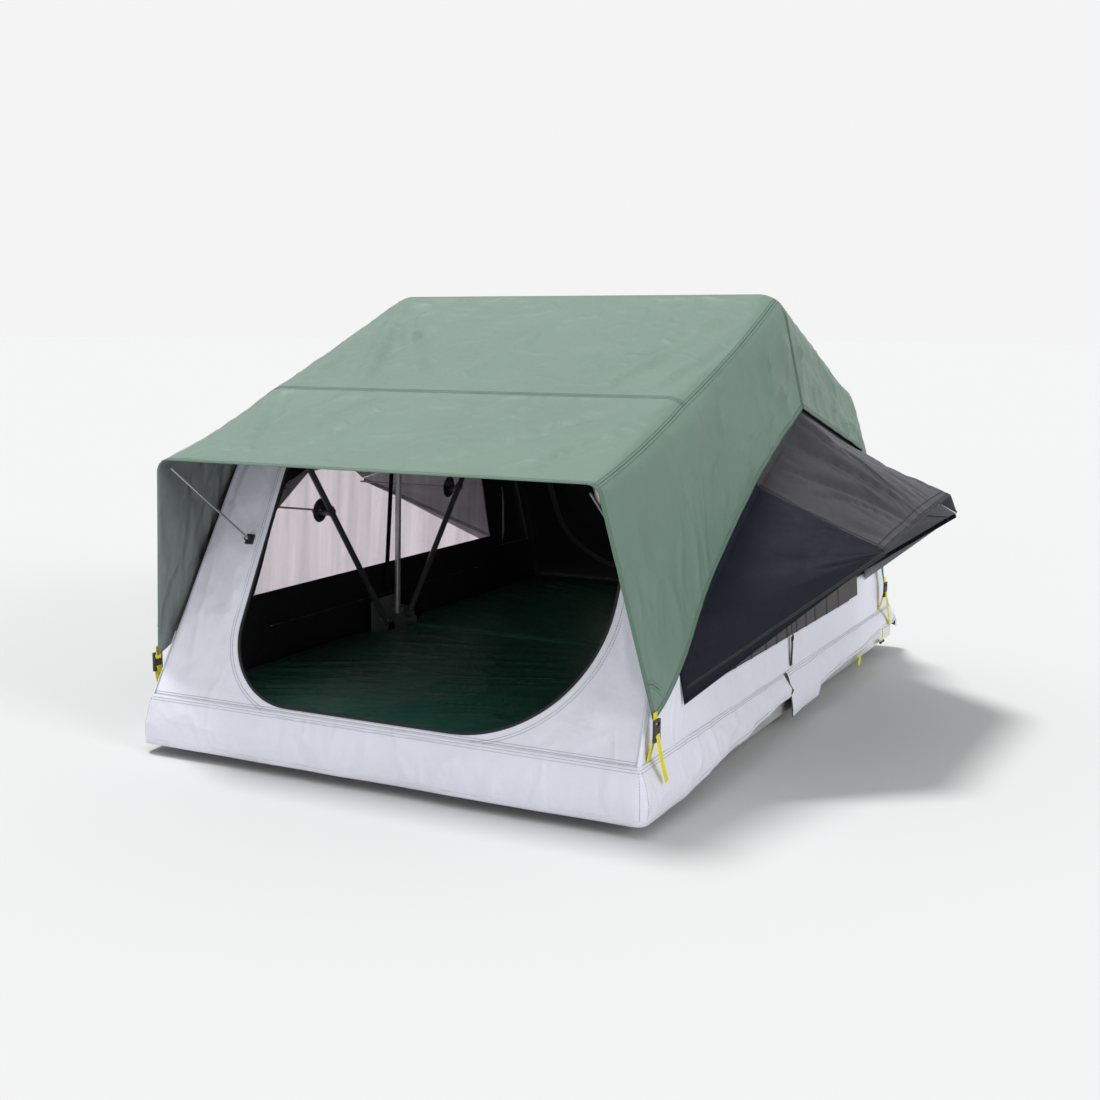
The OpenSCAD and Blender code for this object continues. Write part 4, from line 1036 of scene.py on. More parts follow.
# %% Panels of the side walls
HINGE_GAP = 0.0006
SILL, WINDOW_SILL = 0.095, 0.190
STEP_TOP, STEP_START, STEP_END = 0.155, 0.60, 0.70
END_INSET = 0.0045
LOWER_FOOT = -0.0645


def end_reach(rise):
    """How far a side wall reaches along the tent, at a height above the seam."""
    return SEAM_Y - rise / math.tan(END_SLOPE) - END_INSET


def between(low_line, high_line, count):
    t = np.linspace(0, 1, count)[:, None, None]
    return low_line[None] * (1 - t) + high_line[None] * t


def paired(y, rise):
    return np.stack([y, rise + 0 * y], axis=1)


def spaced(line, count=140):
    """Points along a line of knots, as many between each two knots."""
    knots, t = np.linspace(0, 1, len(line)), np.linspace(0, 1, count)
    return paired(*[np.interp(t, knots, np.array(line)[:, k]) for k in range(2)])


lower_y = np.concatenate([np.linspace(HINGE_GAP, STEP_START, 40), np.linspace(0.61, 1.0866, 44)])
lower_top = np.interp(lower_y, [0, STEP_START, STEP_END, 1.1], [SILL, SILL, STEP_TOP, STEP_TOP])
slope_top = np.clip((SEAM_Y - END_INSET - lower_y) * math.tan(END_SLOPE), 0, STEP_TOP)
lower_top = np.where(lower_y > end_reach(STEP_TOP), slope_top, lower_top)
lower_panel = between(paired(lower_y, LOWER_FOOT), paired(lower_y, lower_top), 22)

WINDOW_SIDE = [(0.70, WINDOW_SILL), (0.66, 0.289), (0.615, 0.415), (0.56, 0.520)]
WINDOW_TOP = [(0.30, 0.606), (HINGE_GAP, 0.685)]
window_line = [(HINGE_GAP, WINDOW_SILL), (0.22, WINDOW_SILL), (0.45, WINDOW_SILL)] + WINDOW_SIDE
window_line += [(0.43, 0.563)] + WINDOW_TOP
outer_line = [(y, SILL + 0.0003) for y in (HINGE_GAP, 0.30, STEP_START)] + [(STEP_END, STEP_TOP + 0.0003)]
outer_line += [(end_reach(rise), rise) for rise in (STEP_TOP + 0.0003, 0.30, 0.45, 0.603)]
outer_line += [(0.40, 0.735), (HINGE_GAP, 0.875)]
upper_panel = between(spaced(window_line), spaced(outer_line), 16)

net_y = np.concatenate([np.linspace(HINGE_GAP, 0.55, 56), np.linspace(0.557, 0.698, 36)])
edge_y, edge_rise = np.array([(0.0, 0.685)] + WINDOW_TOP[:1] + WINDOW_SIDE[::-1]).T
net_top = np.interp(net_y, edge_y, edge_rise) - 0.001
net_panel = between(paired(net_y, WINDOW_SILL + 0.001), paired(net_y, net_top), 40)
print("side panels:", lower_panel.shape, upper_panel.shape, net_panel.shape)

# %% [markdown]
# The three panels lie in the plane of the side wall, which leans in slightly. They differ only in their
# panel, creases and finish, so a short list drives one loop over both halves and both sides.


# %% Side walls
def on_side(y, rise, out, side, end):
    """Points on a side wall: along it, up from the seam and out. side is 1 at the right, end -1 in front."""
    x = SEAM_X - SIDE_TAN * rise + out
    return np.stack([side * x, end * y, SEAM_Z + rise + 0 * x], axis=-1)


SIDE_SHEETS = (
    ("lower_wall", lower_panel, (7, 3, 0.0016), (WALL_OUT, WALL_IN, CLOTH),
     ("wall_cloth", "lower_walls", LOW_GATHER), ("stretched", ["{0}_edge_frame"])),
    ("upper_wall", upper_panel, (8, 3, 0.002), (WALL_IN, WALL_IN, CLOTH),
     ("dark_cloth", "upper_walls", GATHER), ("hung", ["{0}_bow", "centre_bow"])),
    ("window_net", net_panel, (14, 0.9, 0.0022), (WINDOW_NET, WINDOW_NET, 0.0006),
     ("net", "side_meshes", GATHER), ("hung", ["{0}_{1}_upper_wall"])),
)
for half, end in HALVES:
    for hand, side in HANDS:
        seed = 100 + 10 * (end + 1) + 3 * (side + 1)
        for number, (name, panel, ridges, looks, place, hold) in enumerate(SIDE_SHEETS):
            across, along, rise = ridges
            slot, node, fold = place
            calm = arch(np.linspace(0, 1, panel.shape[0]))[:, None]
            wave = creases(panel[..., 0] * across, panel[..., 1] * along, seed + number) * rise * calm
            grid = toward(on_side(panel[..., 0], panel[..., 1], wave, side, end), (side, 0, 0))
            piece = sheet_piece(f"{half}_{hand}_{name}", grid, *looks)
            settle(piece, half + "_base", [f"{half}_{node}"], fold)

# %% [markdown]
# Outside, a strip of coarse net lies over the black wall below the window, and short straps hold it.
# Round the window, inside and out, a tape covers the join of net and cloth. A patch rings each hole for a
# prop rod, and a pale seam closes each corner of the lower walls.

# %% Tapes of the side walls
ROD_HOLE, PATCH_RADIUS = np.array([0.3747, 0.413]), 0.020
STRAP_PLACES = (0.045, 0.135, 0.225, 0.345, 0.47)
TAPE_START = 0.003


def dense(line, step=0.02):
    """Points along a line, about a step apart."""
    line = np.asarray(line, float)
    length = arc_length(line)[-1]
    return at_lengths(line, np.linspace(0, length, max(2, int(length / step))))


def side_band(line, side, end, width, thick, out, closed=False):
    points = on_side(line[:, 0], line[:, 1], np.full(len(line), out), side, end)
    return band(points, [side, 0, SIDE_TAN], width, thick, closed)


def corner_band(rises, side, end, inset, out, facing, width, thick):
    """Band up the corner where a side wall meets an end wall. facing is 1 for outwards and -1 for inwards."""
    line = dense([(end_reach(rise), rise) for rise in rises])
    points = on_side(line[:, 0] + inset, line[:, 1], np.full(len(line), out), side, end)
    return band(points, [0.7 * facing * side, 0.6 * facing * end, 0.3 * facing], width, thick)


window_tape = dense([(TAPE_START, WINDOW_SILL)] + WINDOW_SIDE + WINDOW_TOP[:1] + [(TAPE_START, 0.685)])
around = np.radians(np.linspace(0, 360, 28, endpoint=False))
rod_ring = ROD_HOLE + PATCH_RADIUS * np.stack([np.cos(around), np.sin(around)], axis=1)
for half, end in HALVES:
    sills, tapes, patches, seams = [], [], [], []
    for side in (-1, 1):
        sill_line = dense([(TAPE_START, 0.1425), (0.69, 0.1425)])
        sills.append(side_band(sill_line, side, end, 0.088, 0.0008, 0.0022))
        for y in STRAP_PLACES:
            tapes.append(side_band(dense([(y, 0.096), (y, 0.188)]), side, end, 0.014, 0.0008, 0.0031))
        for out in (0.0013, -0.0024):
            tapes.append(side_band(window_tape, side, end, 0.020, TAPE, out))
        if half == "front":
            tapes.append(side_band(dense([(0.0, 0.0), (0.0, 0.87)]), side, end, 0.024, TAPE, -0.0036))
        tapes.append(corner_band((0.0, 0.3, 0.62), side, end, -0.010, -0.010, -1, 0.020, TAPE))
        patches.append(side_band(rod_ring, side, end, 0.034, 0.0012, 0.0012, True))
        seams.append(corner_band((0.0, 0.08, 0.156), side, end, 0.0035, -0.0005, 1, 0.011, 0.0012))
    taped(half + "_sill_net", sills, SILL_NET, half + "_base", fold=GATHER)
    taped(half + "_corner_seams", seams, WALL_OUT, half + "_base", fold=LOW_GATHER)
    taped(half + "_window_tapes", tapes + patches, DARK_TAPE, half + "_base", fold=GATHER)
    print(half, "side tapes:", len(tapes))

# %% [markdown]
# ## The ceiling
# A black liner hangs under the cross bars and sags a little between them. It is a plain grid, lowered by
# the sag and by a few soft creases.

# %% Ceilings
CEILING_HALF, CEILING_SAG, CEILING_CREASE = 0.55, 0.012, 0.002
span = math.hypot(BOW_Y, RIDGE_Z - BOW_Z)
for (half, end), seed in zip(HALVES, (201, 202)):
    across, along = np.meshgrid(np.linspace(-CEILING_HALF, CEILING_HALF, 60), np.linspace(0.006, span, 40))
    drop = LIFT + (CEILING_SAG + CEILING_CREASE * creases(across * 8, along * 2, seed)) * arch(along / span)
    y = along * math.cos(ROOF_TILT) - drop * math.sin(ROOF_TILT)
    z = RIDGE_Z - along * math.sin(ROOF_TILT) - drop * math.cos(ROOF_TILT)
    grid = toward(np.stack([across, end * y, z], axis=2), (0, 0, 1))
    liner = sheet_piece(half + "_ceiling_liner", grid, WALL_IN, WALL_IN)
    settle(liner, half + "_base", [half + "_ceiling"], GATHER)

# %% [markdown]
# ## The skirt
# The skirt hangs from the wall seam, stands out over the edge of the base and falls to a taped hem. Its
# line runs round three sides of each half. Places along the seam and shares of the fall make a grid, and
# the hem's height changes along it: it rises along the sides, and the rear half has a flap over the
# hinge.

# %% Shape of the skirt
CORNER = 0.004
SKIRT_FALL = 0.130
SHARE = np.concatenate([np.linspace(0, 0.2, 9), np.linspace(0.2, 1, 22)[1:]])
SKIRT_OUT = 0.0013 + 0.0237 * (1 - (1 - SHARE) ** 2.4) - 0.0020 * SHARE ** 5
FRONT_START, REAR_START = 0.085, -0.071


def skirt_stations(start, side_count=100, end_count=70):
    """Places from the right side, round the end, to the left side, with the way out at each."""
    turns = np.radians(np.linspace(0, 90, 12))[1:-1]
    places = [(SEAM_X, y) for y in np.linspace(start, SEAM_Y - CORNER, side_count)]
    arc = [(math.cos(a), math.sin(a)) for a in turns]
    places += [(SEAM_X - CORNER + CORNER * x, SEAM_Y - CORNER + CORNER * y) for x, y in arc]
    places += [(x, SEAM_Y) for x in np.linspace(SEAM_X - CORNER, 0, end_count)]
    ways = [(1.0, 0.0)] * side_count + arc + [(0.0, 1.0)] * end_count
    return [np.vstack([right, right[-2::-1] * MIRROR[:2]]) for right in (np.array(places), np.array(ways))]


def skirt_grid(start, lift, seed, end):
    place, way = skirt_stations(start)
    step = arc_length(place)
    on_end = np.abs(way[:, 1])
    fold = smooth_noise(step * 5.5, step * 0, seed) + 0.5 * smooth_noise(step * 11, step * 0 + 3, seed)
    depth = 0.0085 * (1 - on_end) + 0.0030 * on_end
    strength = 0.0034 + 0.0052 * (1 - on_end)
    ripple = creases(step[:, None] * 9, SHARE[None] * 1.1, seed + 2) * strength[:, None]
    ripple = ripple * np.clip(arch(SHARE), 0, 1)[None] ** 0.7
    reach = SKIRT_OUT[None] + (SHARE ** 1.6)[None] * (fold * depth)[:, None] + ripple
    x, y = [place[:, k:k + 1] + way[:, k:k + 1] * reach for k in range(2)]
    hem = np.array([lift(p[1], w[1]) for p, w in zip(place, way)])
    z = SEAM_Z + 0.002 - SHARE[None] * (SKIRT_FALL - hem)[:, None]
    return toward(np.stack([x, end * y, z + 0 * x], axis=2), (0, end, 0))


def front_lift(y, facing):
    """How much higher than the front hem the hem is: nothing on the end, more towards the hinge."""
    return 0.0 if facing > 0.05 else 0.066 * max(0.0, 1 - (y - FRONT_START) / (SEAM_Y - FRONT_START)) ** 1.2


def rear_lift(y, facing):
    if facing > 0.05:
        return 0.055
    flap = 0.004 + 0.026 * fade(np.array(y), 0.185, 0.210)
    return float(flap + 0.050 * max(0.0, (y - 0.12) / (SEAM_Y - 0.12)))


print("skirt stands out by", round(float(SKIRT_OUT.max()) * 1000, 1), "mm")

# %% [markdown]
# A pale tape covers the hem, a dark zip tape edges the slit at the hinge, and stitches follow the seam,
# the hem and the corners. The hem tape is a second thin sheet on the last rows of the skirt's own grid,
# so it follows every fold.

# %% Skirts
HEM_ROWS = 4
SKIRTS = (("front", -1, FRONT_START, front_lift, 301), ("rear", 1, REAR_START, rear_lift, 302))
for half, end, start, lift, seed in SKIRTS:
    body = half + "_base"
    grid = skirt_grid(start, lift, seed, end)
    normal = grid_normals(grid)
    skirt = sheet_piece(half + "_skirt_cloth", grid, WALL_OUT, WALL_IN)
    settle(skirt, body, [half + "_skirt"])
    hem_grid = grid[:, -HEM_ROWS:] + normal[:, -HEM_ROWS:] * 0.0010
    hem_tape = settle(sheet_piece(half + "_skirt_hem", hem_grid, HEM, HEM, thick=0.0008), body)
    slits = [band(grid[k, 1:], normal[k, 1:], 0.012) for k in (0, -1)]
    zip_tape = taped(half + "_skirt_zip", slits, DARK_TAPE, body)
    rows = [lifted(grid, normal, slice(None), k) for k in (2, 4)]
    rows += both_edges([band(grid[:, -1] + np.array([0, 0, 0.006]), normal[:, -1], 0.013, 0.0009)], 0.4)
    for way in (-1, 1):
        at = np.argmin(np.abs(grid[:, -1, 0] - way * 0.722) + 5 * (np.abs(grid[:, -1, 1]) < 1.10))
        rows += [lifted(grid, normal, at + k, slice(4, None)) for k in (-2, 3)]
    threads = sewn(half + "_skirt_stitches", rows, GREY_THREAD, body)

# %% [markdown]
# ## The awnings
# Each awning is a charcoal top and two navy cheeks, pulled out by the prop rods. Straight rows run from
# the wall to the outer edge. The inner edge follows the flysheet's hem, and a short strip of each row
# tucks up behind it, so no gap shows from below.

# %% Edges of the awning
ATTACH_HIGH, ATTACH_LOW, ATTACH_REACH = 0.889, 0.250, 0.796
ATTACH = [(0, 0), (0.2, 0.115), (0.43, 0.26), (0.7, 0.47), (0.86, 0.615), (0.94, 0.73), (1, 1)]
CREASE = 0.43
AWNING_X, AWNING_HALF, AWNING_Z, AWNING_LIFT = 1.060, 0.413, 0.577, 0.066
CUT_Y, CUT_Z = [-knot[2] for knot in SIDE_CUT], [knot[3] for knot in SIDE_CUT]
REAR_HEM_FALL = 0.2455
TUCK_POINTS, TUCK_IN, TUCK_UP, TUCK_MOST = 4, 0.014, 0.014, 0.075


def attach_point(f, lift=0.0):
    """Place on the wall where the awning is sewn on: f is 0 above the window and 1 at the end of a cheek."""
    z = ATTACH_HIGH + (ATTACH_LOW - ATTACH_HIGH) * float(np.interp(abs(f), *np.array(ATTACH).T)) + lift
    return np.array([side_x(z) + 0.0031, ATTACH_REACH * f, z])


def awning_outer(u):
    """Outer edge, held up between the propped corners: u is -1 at the front and 1 at the rear."""
    rise = AWNING_LIFT * float(np.interp(u, [-1, 0.75, 1], [0, 1, 0]))
    return np.array([AWNING_X, AWNING_HALF * u, AWNING_Z + rise])


def top_edge(u):
    """Inner edge of the awning's top: along the wall at the front, up under the fly's hem at the rear."""
    wall = attach_point(CREASE * u, float(np.interp(u, [-1, -0.4, 0], [0, 0.014, 0.032])))
    y = 0.342 * u + 0.27 * float(fade(u, 0.0, 0.85))
    hem = np.array([0.702 - 0.012 * y, y, 0.886 - REAR_HEM_FALL * y])
    return wall + (hem - wall) * float(fade(u, -0.3, 0.2))


def tucked(a, b, count):
    """Row of points from behind the fly's hem, down to the hem's plane and out along the line from a to b."""
    plane = 0.703 - 0.020 * max(a[1], 0.0)
    start = a + (b - a) * max(0.0, (plane - a[0]) / (b[0] - a[0]))
    y = start[1]
    hem = SIDE_CUT[0][3] - REAR_HEM_FALL * y if y > 0 else float(np.interp(-y, CUT_Y, CUT_Z))
    top = start + np.array([-TUCK_IN, 0, min(max(hem + TUCK_UP - start[2], 0.0), TUCK_MOST)])
    strip = top + (start - top) * np.linspace(0, 0.9, TUCK_POINTS)[:, None]
    return np.vstack([strip, start + (b - start) * np.linspace(0, 1, count)[:, None]])


def row_shares(count):
    """Share of the way out along a row of tucked points: 0 on the strip behind the hem."""
    return np.concatenate([np.zeros(TUCK_POINTS), np.linspace(0, 1, count)])[None]


print("awning stands out to", AWNING_X, "m from the middle")

# %% [markdown]
# The top's creases fan out from the wall to the two propped corners, and the cloth is calmer towards the
# rear. The cheeks are drawn to their corner, so their creases run that way too.

# %% Panels of the awning
TOP_ROWS, TOP_POINTS, CHEEK_ROWS, CHEEK_POINTS = 71, 56, 44, 40
TOP_SAG = 0.005
CHEEK_BELOW = 0.0035
FRONT_FOOT_SHIFT = np.array([0.001, -0.046, -0.012])


def awning_top_grid():
    t, u = np.linspace(0, 1, TOP_POINTS), np.linspace(-1, 1, TOP_ROWS)
    grid = np.array([tucked(top_edge(k), awning_outer(k), TOP_POINTS) for k in u])
    u = u[:, None]
    grid[:, TUCK_POINTS:, 2] -= TOP_SAG * (t * (1 - t)) * 4 * (1 - 0.3 * u * u)
    t = row_shares(TOP_POINTS)
    fan = np.sign(u) * np.abs(u) ** 0.8
    ridges = creases(fan * 3.6 + 0.9 * t * np.sign(u), t * 1.2 + 9, 401) * 0.0180
    ridges = ridges + creases(fan * 9.0 + 0.5 * t, t * 1.6 + 30, 405) * 0.0060
    held = np.clip(arch(t), 0, 1) ** 0.6 * (1 - 0.8 * fade(np.abs(u), 0.85, 1))
    held = held * (1 - 0.72 * fade(u, 0.35, 0.65))
    return displaced(grid, ridges * held), grid


def awning_cheek_grid(end, foot):
    """Cheek from its foot on the wall up to the crease, at the front (end -1) or the rear (end 1)."""
    rows = []
    corner = awning_outer(end) - np.array([0, 0, CHEEK_BELOW])
    raised = top_edge(end) - attach_point(CREASE * end)
    for f in np.linspace(foot, CREASE, CHEEK_ROWS):
        k = (foot - f) / (foot - CREASE)
        a = attach_point(f * end) + raised * k - np.array([0, 0, CHEEK_BELOW * (1 - k)])
        if end < 0:
            a = a + FRONT_FOOT_SHIFT * fade(f, 0.75, 1.0)
        rows.append(tucked(a, corner + (a - corner) * 0.012, CHEEK_POINTS))
    grid = np.array(rows)
    k, t = np.linspace(0, 1, CHEEK_ROWS)[:, None], row_shares(CHEEK_POINTS)
    ridges = creases(k * 4.5 + 20, t * 1.4, 411) * 0.0075
    held = np.clip(arch(t), 0, 1) ** 0.8 * fade(k, 0, 0.12) * (1 - fade(k, 0.88, 1))
    return displaced(grid, ridges * held), grid


top_grid, top_flat = awning_top_grid()
CHEEKS = [("front", -1, *awning_cheek_grid(-1, 1.0)), ("rear", 1, *awning_cheek_grid(1, 0.985))]
print("awning grids:", top_grid.shape, CHEEKS[0][2].shape)

# %% [markdown]
# Tape binds the outer edge, the creases and the feet of the cheeks, with threads along it. The left
# awning is the right one mirrored.

# %% Awnings
for hand, side in HANDS[::-1]:
    body, flip = hand + "_awning", np.array([side, 1, 1])
    grid = toward(top_grid * flip, (0.3 * side, 0, 1))
    normal = grid_normals(grid)
    top = sheet_piece(hand + "_awning_roof", grid, AWNING_OUT, AWNING_IN)
    settle(top, body, [hand + "_awning_top"], SIDE_GATHER)
    out = slice(TUCK_POINTS, None)
    runs = [band(grid[:, k], normal[:, k], width, 0.0008) for k, width in ((55, 0.004), (-2, 0.014))]
    runs += [band(grid[k, out], normal[k, out], 0.009) for k in (1, -2)]
    for end, way, cheek_grid, cheek_flat in CHEEKS:
        cheek = toward(cheek_grid * flip, (0.4 * side, way, -0.2))
        piece = sheet_piece(f"{hand}_awning_cheek_{end}", cheek, CHEEK_OUT, CHEEK_IN)
        settle(piece, body, [hand + "_awning_cheeks"], SIDE_GATHER)
        normal = grid_normals(cheek)
        k = -2 if np.argmin(cheek[[0, -1], 9, 2]) else 1
        runs += [band(cheek[k, out], normal[k, out], 0.009), band(cheek[k, out], -normal[k, out], 0.014)]
    tapes = taped(hand + "_awning_tapes", runs, DARK_TAPE, body, fold=SIDE_GATHER)
    threads = sewn(hand + "_awning_stitches", both_edges(runs), DARK_THREAD, body,
                   SIDE_GATHER)

# %% [markdown]
# ## The mattress
# Each half is foam in a loose satin cover. It is a closed crowned form: the sides draw in between the
# corners, the top edge is rounded, and the cover lies in loose wrinkles, most of them near the door.
# Rings of points from the underside over the edge to the middle keep the rounded edge even all the way
# round.


# %% Shape of the mattress
def rounded_polygon(corners, radius, count=8):
    points = []
    for k, b in enumerate(corners):
        a, c = corners[k - 1], corners[(k + 1) % len(corners)]
        back, ahead = unit(a - b), unit(c - b)
        reach = min(radius, 0.45 * np.linalg.norm(a - b), 0.45 * np.linalg.norm(c - b))
        start, stop = b + back * reach, b + ahead * reach
        for t in np.linspace(0, 1, count):
            points.append((1 - t) ** 2 * start + 2 * t * (1 - t) * b + t * t * stop)
    return np.array(points)


PAD_HALF, PAD_END, NOTCH_HALF, NOTCH_END, PAD_START = 0.683, 1.074, 0.618, 0.152, 0.008
PAD_MIDDLE = np.array([0, 0.54])
PAD_EDGE = [(0.0906, 0.60), (0.0906, 0.975), (0.0935, 0.988), (0.101, 0.996), (0.115, 1.0), (0.132, 1.0),
            (0.144, 0.996), (0.1505, 0.990), (0.1545, 0.981)]
PAD_TOP, PAD_CROWN, PAD_DRAW = 0.1555, 0.0040, 0.008


def mattress_outline():
    """Outline of one half, notched round the hinges, with its sides drawn in between the corners."""
    right = np.array([(NOTCH_HALF, PAD_START), (NOTCH_HALF, NOTCH_END), (PAD_HALF, NOTCH_END),
                      (PAD_HALF, PAD_END)])
    corners = np.vstack([right[:1] * MIRROR[:2], right, right[:0:-1] * MIRROR[:2]])
    x, y = resampled(rounded_polygon(corners, 0.030), 420).T
    x = x - np.sign(x) * PAD_DRAW * np.clip(1 - ((y - 0.61) / 0.46) ** 2, 0, 1) * (np.abs(x) > 0.66)
    y = y - PAD_DRAW * np.clip(1 - (x / 0.66) ** 2, 0, 1) * (y > 1.06)
    return np.stack([x, y], axis=1)


def mattress_grid(end, seed):
    outline = mattress_outline()
    shares = np.linspace(0.968, 0.02, 64)
    rings = PAD_EDGE + [(PAD_TOP + PAD_CROWN * (1 - s ** 4), s) for s in shares]
    grid = np.array([np.column_stack([PAD_MIDDLE + (outline - PAD_MIDDLE) * s, np.full(len(outline), z)])
                     for z, s in rings])
    x, y = grid[..., 0], grid[..., 1]
    top, side = np.zeros(grid.shape[:2]), np.zeros(grid.shape[:2])
    top[len(PAD_EDGE):] = fade(np.linspace(0, 1, len(shares)), 0, 0.05)[:, None]
    side[4:8] = 1
    wrinkles = 0.0034631 * creases(y * 11 + 0.8 * np.sin(x * 5), x * 2.6 + 5, seed)
    wrinkles += 0.0071186 * creases((x * 0.55 + y) * 9, (x - y * 0.55) * 2.0, seed + 4)
    wrinkles += 0.0030783 * creases((y * 0.85 + x * 0.5) * 19, (x * 0.85 - y * 0.5) * 6 + 9, seed + 6)
    grid[..., 2] += top * wrinkles * (0.45 + 0.55 * fade(y, 0.35, 0.85))
    grid = displaced(grid, side * 0.0016 * creases((x + y) * 14, grid[..., 2] * 10, seed + 8), ring=True)
    grid[..., 1] *= end
    return grid if end > 0 else grid[:, ::-1]


print("mattress half:", 2 * PAD_HALF, "by", round(PAD_END - PAD_START, 2), "m")

# %% [markdown]
# The rings are closed at the bottom and the top with a fan to a middle point. A row of stitches follows
# the upper edge of the cover.


# %% Mattress
def ring_faces(n, m):
    """Faces between n rings of m points."""
    number = np.arange(n * m).reshape(n, m)
    ahead = np.roll(number, -1, axis=1)
    return np.stack([number[:-1], ahead[:-1], ahead[1:], number[1:]], axis=2).reshape(-1, 4).tolist()


def mattress_piece(name, grid):
    n, m = grid.shape[:2]
    verts = np.concatenate([grid.reshape(-1, 3), [grid[0].mean(axis=0)], [grid[-1].mean(axis=0)]])
    faces, last = ring_faces(n, m), (n - 1) * m
    for j in range(m):
        k = (j + 1) % m
        faces += [(n * m, k, j), (n * m + 1, last + j, last + k)]
    return mesh_piece(name, verts, faces, verts[:, :2], np.zeros(len(faces)), [COVER])


EDGE_RING = 7
for (half, end), seed in zip(HALVES, (501, 502)):
    grid = mattress_grid(end, seed)
    mattress = mattress_piece(half + "_mattress_cover", grid)
    settle(mattress, half + "_base", [half + "_mattress"], PRESSED)
    rim_line = looped(grid[EDGE_RING]) + np.array([0, 0, 0.0006])
    sewn(half + "_mattress_stitches", [rim_line], DARK_THREAD, half + "_base", PRESSED)
    print(half, "mattress faces:", len(mattress.data.polygons))

# %% [markdown]
# ## The rolled up door
# The door is rolled and tied above the doorway. It is a spiral of cloth, loose at the ends, held by two
# ties. A spiral shows its turns at the ends, which a plain bar would not.

# %% Door roll
ROLL_TURNS, ROLL_CORE, ROLL_GROWTH = 3.2, 0.0085, 0.0132
TIE_PLACES, TIE_RADIUS = (0.22, 0.78), 0.0193
ROLL_INSET = 0.040


def roll_grid(length, points=120):
    """The roll along its own line: along it, up the wall and out from the wall."""
    angle = np.linspace(0, 2 * math.pi * ROLL_TURNS, points)
    outer = angle / angle[-1]
    grid = []
    for s in np.linspace(0, 1, 80):
        swell = 0.05 * math.sin(9 * s) + 0.04 * math.sin(23 * s + 1)
        pinch = 1 - 0.16 * sum(math.exp(-((s - k) / 0.012) ** 2) for k in TIE_PLACES)
        r = (ROLL_CORE + ROLL_GROWTH * outer) * (1 + swell * outer) * pinch
        grid.append(np.stack([np.full(points, s * length), r * np.cos(angle), r * np.sin(angle)], axis=1))
    return np.array(grid)


roll_length = DOOR_LEFT + DOOR_RIGHT - 2 * ROLL_INSET
roll_start = on_wall((ROLL_INSET - DOOR_LEFT, DOOR_HEAD + 0.027), 0.0247)
local = roll_grid(roll_length)
roll_axis = roll_start + local[..., :1] * ACROSS
roll_points = roll_axis + local[..., 1:2] * UP_WALL + local[..., 2:] * OUT_WALL
roll_points = toward(roll_points, roll_points - roll_axis)
roll = sheet_piece("rolled_door", roll_points, WALL_OUT, WALL_IN)
settle(roll, "door_wall", ["door_roll"], DOOR_FLAT)
around = np.radians(np.linspace(0, 360, 36, endpoint=False))[:, None]
out = np.cos(around) * UP_WALL + np.sin(around) * OUT_WALL
ties = [band(roll_start + s * roll_length * ACROSS + out * TIE_RADIUS, out, 0.020, 0.0012, True)
        for s in TIE_PLACES]
taped("door_roll_ties", ties, DARK_TAPE, "door_wall", fold=DOOR_FLAT)

# %% [markdown]
# ## Straps and zip pulls
# Yellow webbing ties the flysheet's tips down through black ladder hooks, and its tail hangs over the
# skirt. A zip pull hangs below each side window. Webbing is a band along a smooth line through a few
# places.

# %% Straps
WEBBING = 0.0016
STRAP_UPPER = [(0.7180, 0.275), (0.7178, 0.262), (0.7176, 0.250), (0.7180, 0.241)]
STRAP_LOWER = [(0.7020, 0.160), (0.7070, 0.180), (0.7125, 0.200), (0.7170, 0.222)]
STRAP_TAIL = [(0.7252, 0.000, 0.226), (0.7262, 0.002, 0.205), (0.7278, 0.008, 0.180), (0.7296, 0.016, 0.156),
              (0.7320, 0.026, 0.130), (0.7328, 0.036, 0.108)]
PULL_X, PULL_Y = 0.7027, -0.022


def smooth_path(points):
    knots = np.column_stack([np.linspace(0, 1, len(points)), points])
    return np.array([smooth_line(knots, s) for s in np.linspace(0, 1, 8 * len(points))])


def strap_run(points, width, side, thick=WEBBING):
    """Band of webbing through places on the right side of the tent, or on the left side with side -1."""
    path = dense(smooth_path(np.array(points) * np.array([side, 1, 1])), 0.006)
    return band(path, [float(side), 0, 0.05], width, thick)


for half, y in (("front", -1.046), ("rear", 0.951)):
    runs = []
    for side in (-1, 1):
        for line in (STRAP_UPPER, STRAP_LOWER):
            runs.append(strap_run([(x, y, z) for x, z in line], 0.020, side))
        runs.append(strap_run([(x, y + shift, z) for x, shift, z in STRAP_TAIL], 0.017, side))
    taped(half + "_tie_webbing", runs, YELLOW, half + "_base", [half + "_tie_straps"])

for hand, side in HANDS:
    x, y = PULL_X, PULL_Y
    pull = [(x, y, 0.250), (x + 0.0012, y + 0.001, 0.225), (x + 0.0008, y - 0.001, 0.195), (x, y, 0.166)]
    slider = [(x + 0.0020, y, 0.256), (x + 0.0030, y, 0.247), (x + 0.0020, y, 0.238)]
    runs = [strap_run(pull, 0.015, side, 0.0014), strap_run(slider, 0.010, side, 0.0024)]
    taped(hand + "_zip_pull", runs, DARK_TAPE, "window_pull_" + hand, ["window_pull_" + hand])
print("straps and pulls made")

# %% [markdown]
# ## Toggles
# A toggle on a yellow tape hangs from the rear hem on each side, and a strap's end shows below the skirt.
# The toggle is a turned bar with a waist, made of rings, and it sits where the solid toggle is.

# %% Toggles
BAR_HALF, BAR_RADIUS, BAR_RINGS, BAR_SIDES = 0.023, 0.0045, 25, 16
STRAP_END = [(0.7160, 0.668, 0.064), (0.7190, 0.662, 0.050), (0.7210, 0.650, 0.040), (0.7200, 0.636, 0.036)]
low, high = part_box("rear_toggles")
toggle_y = (low[1] + high[1]) / 2


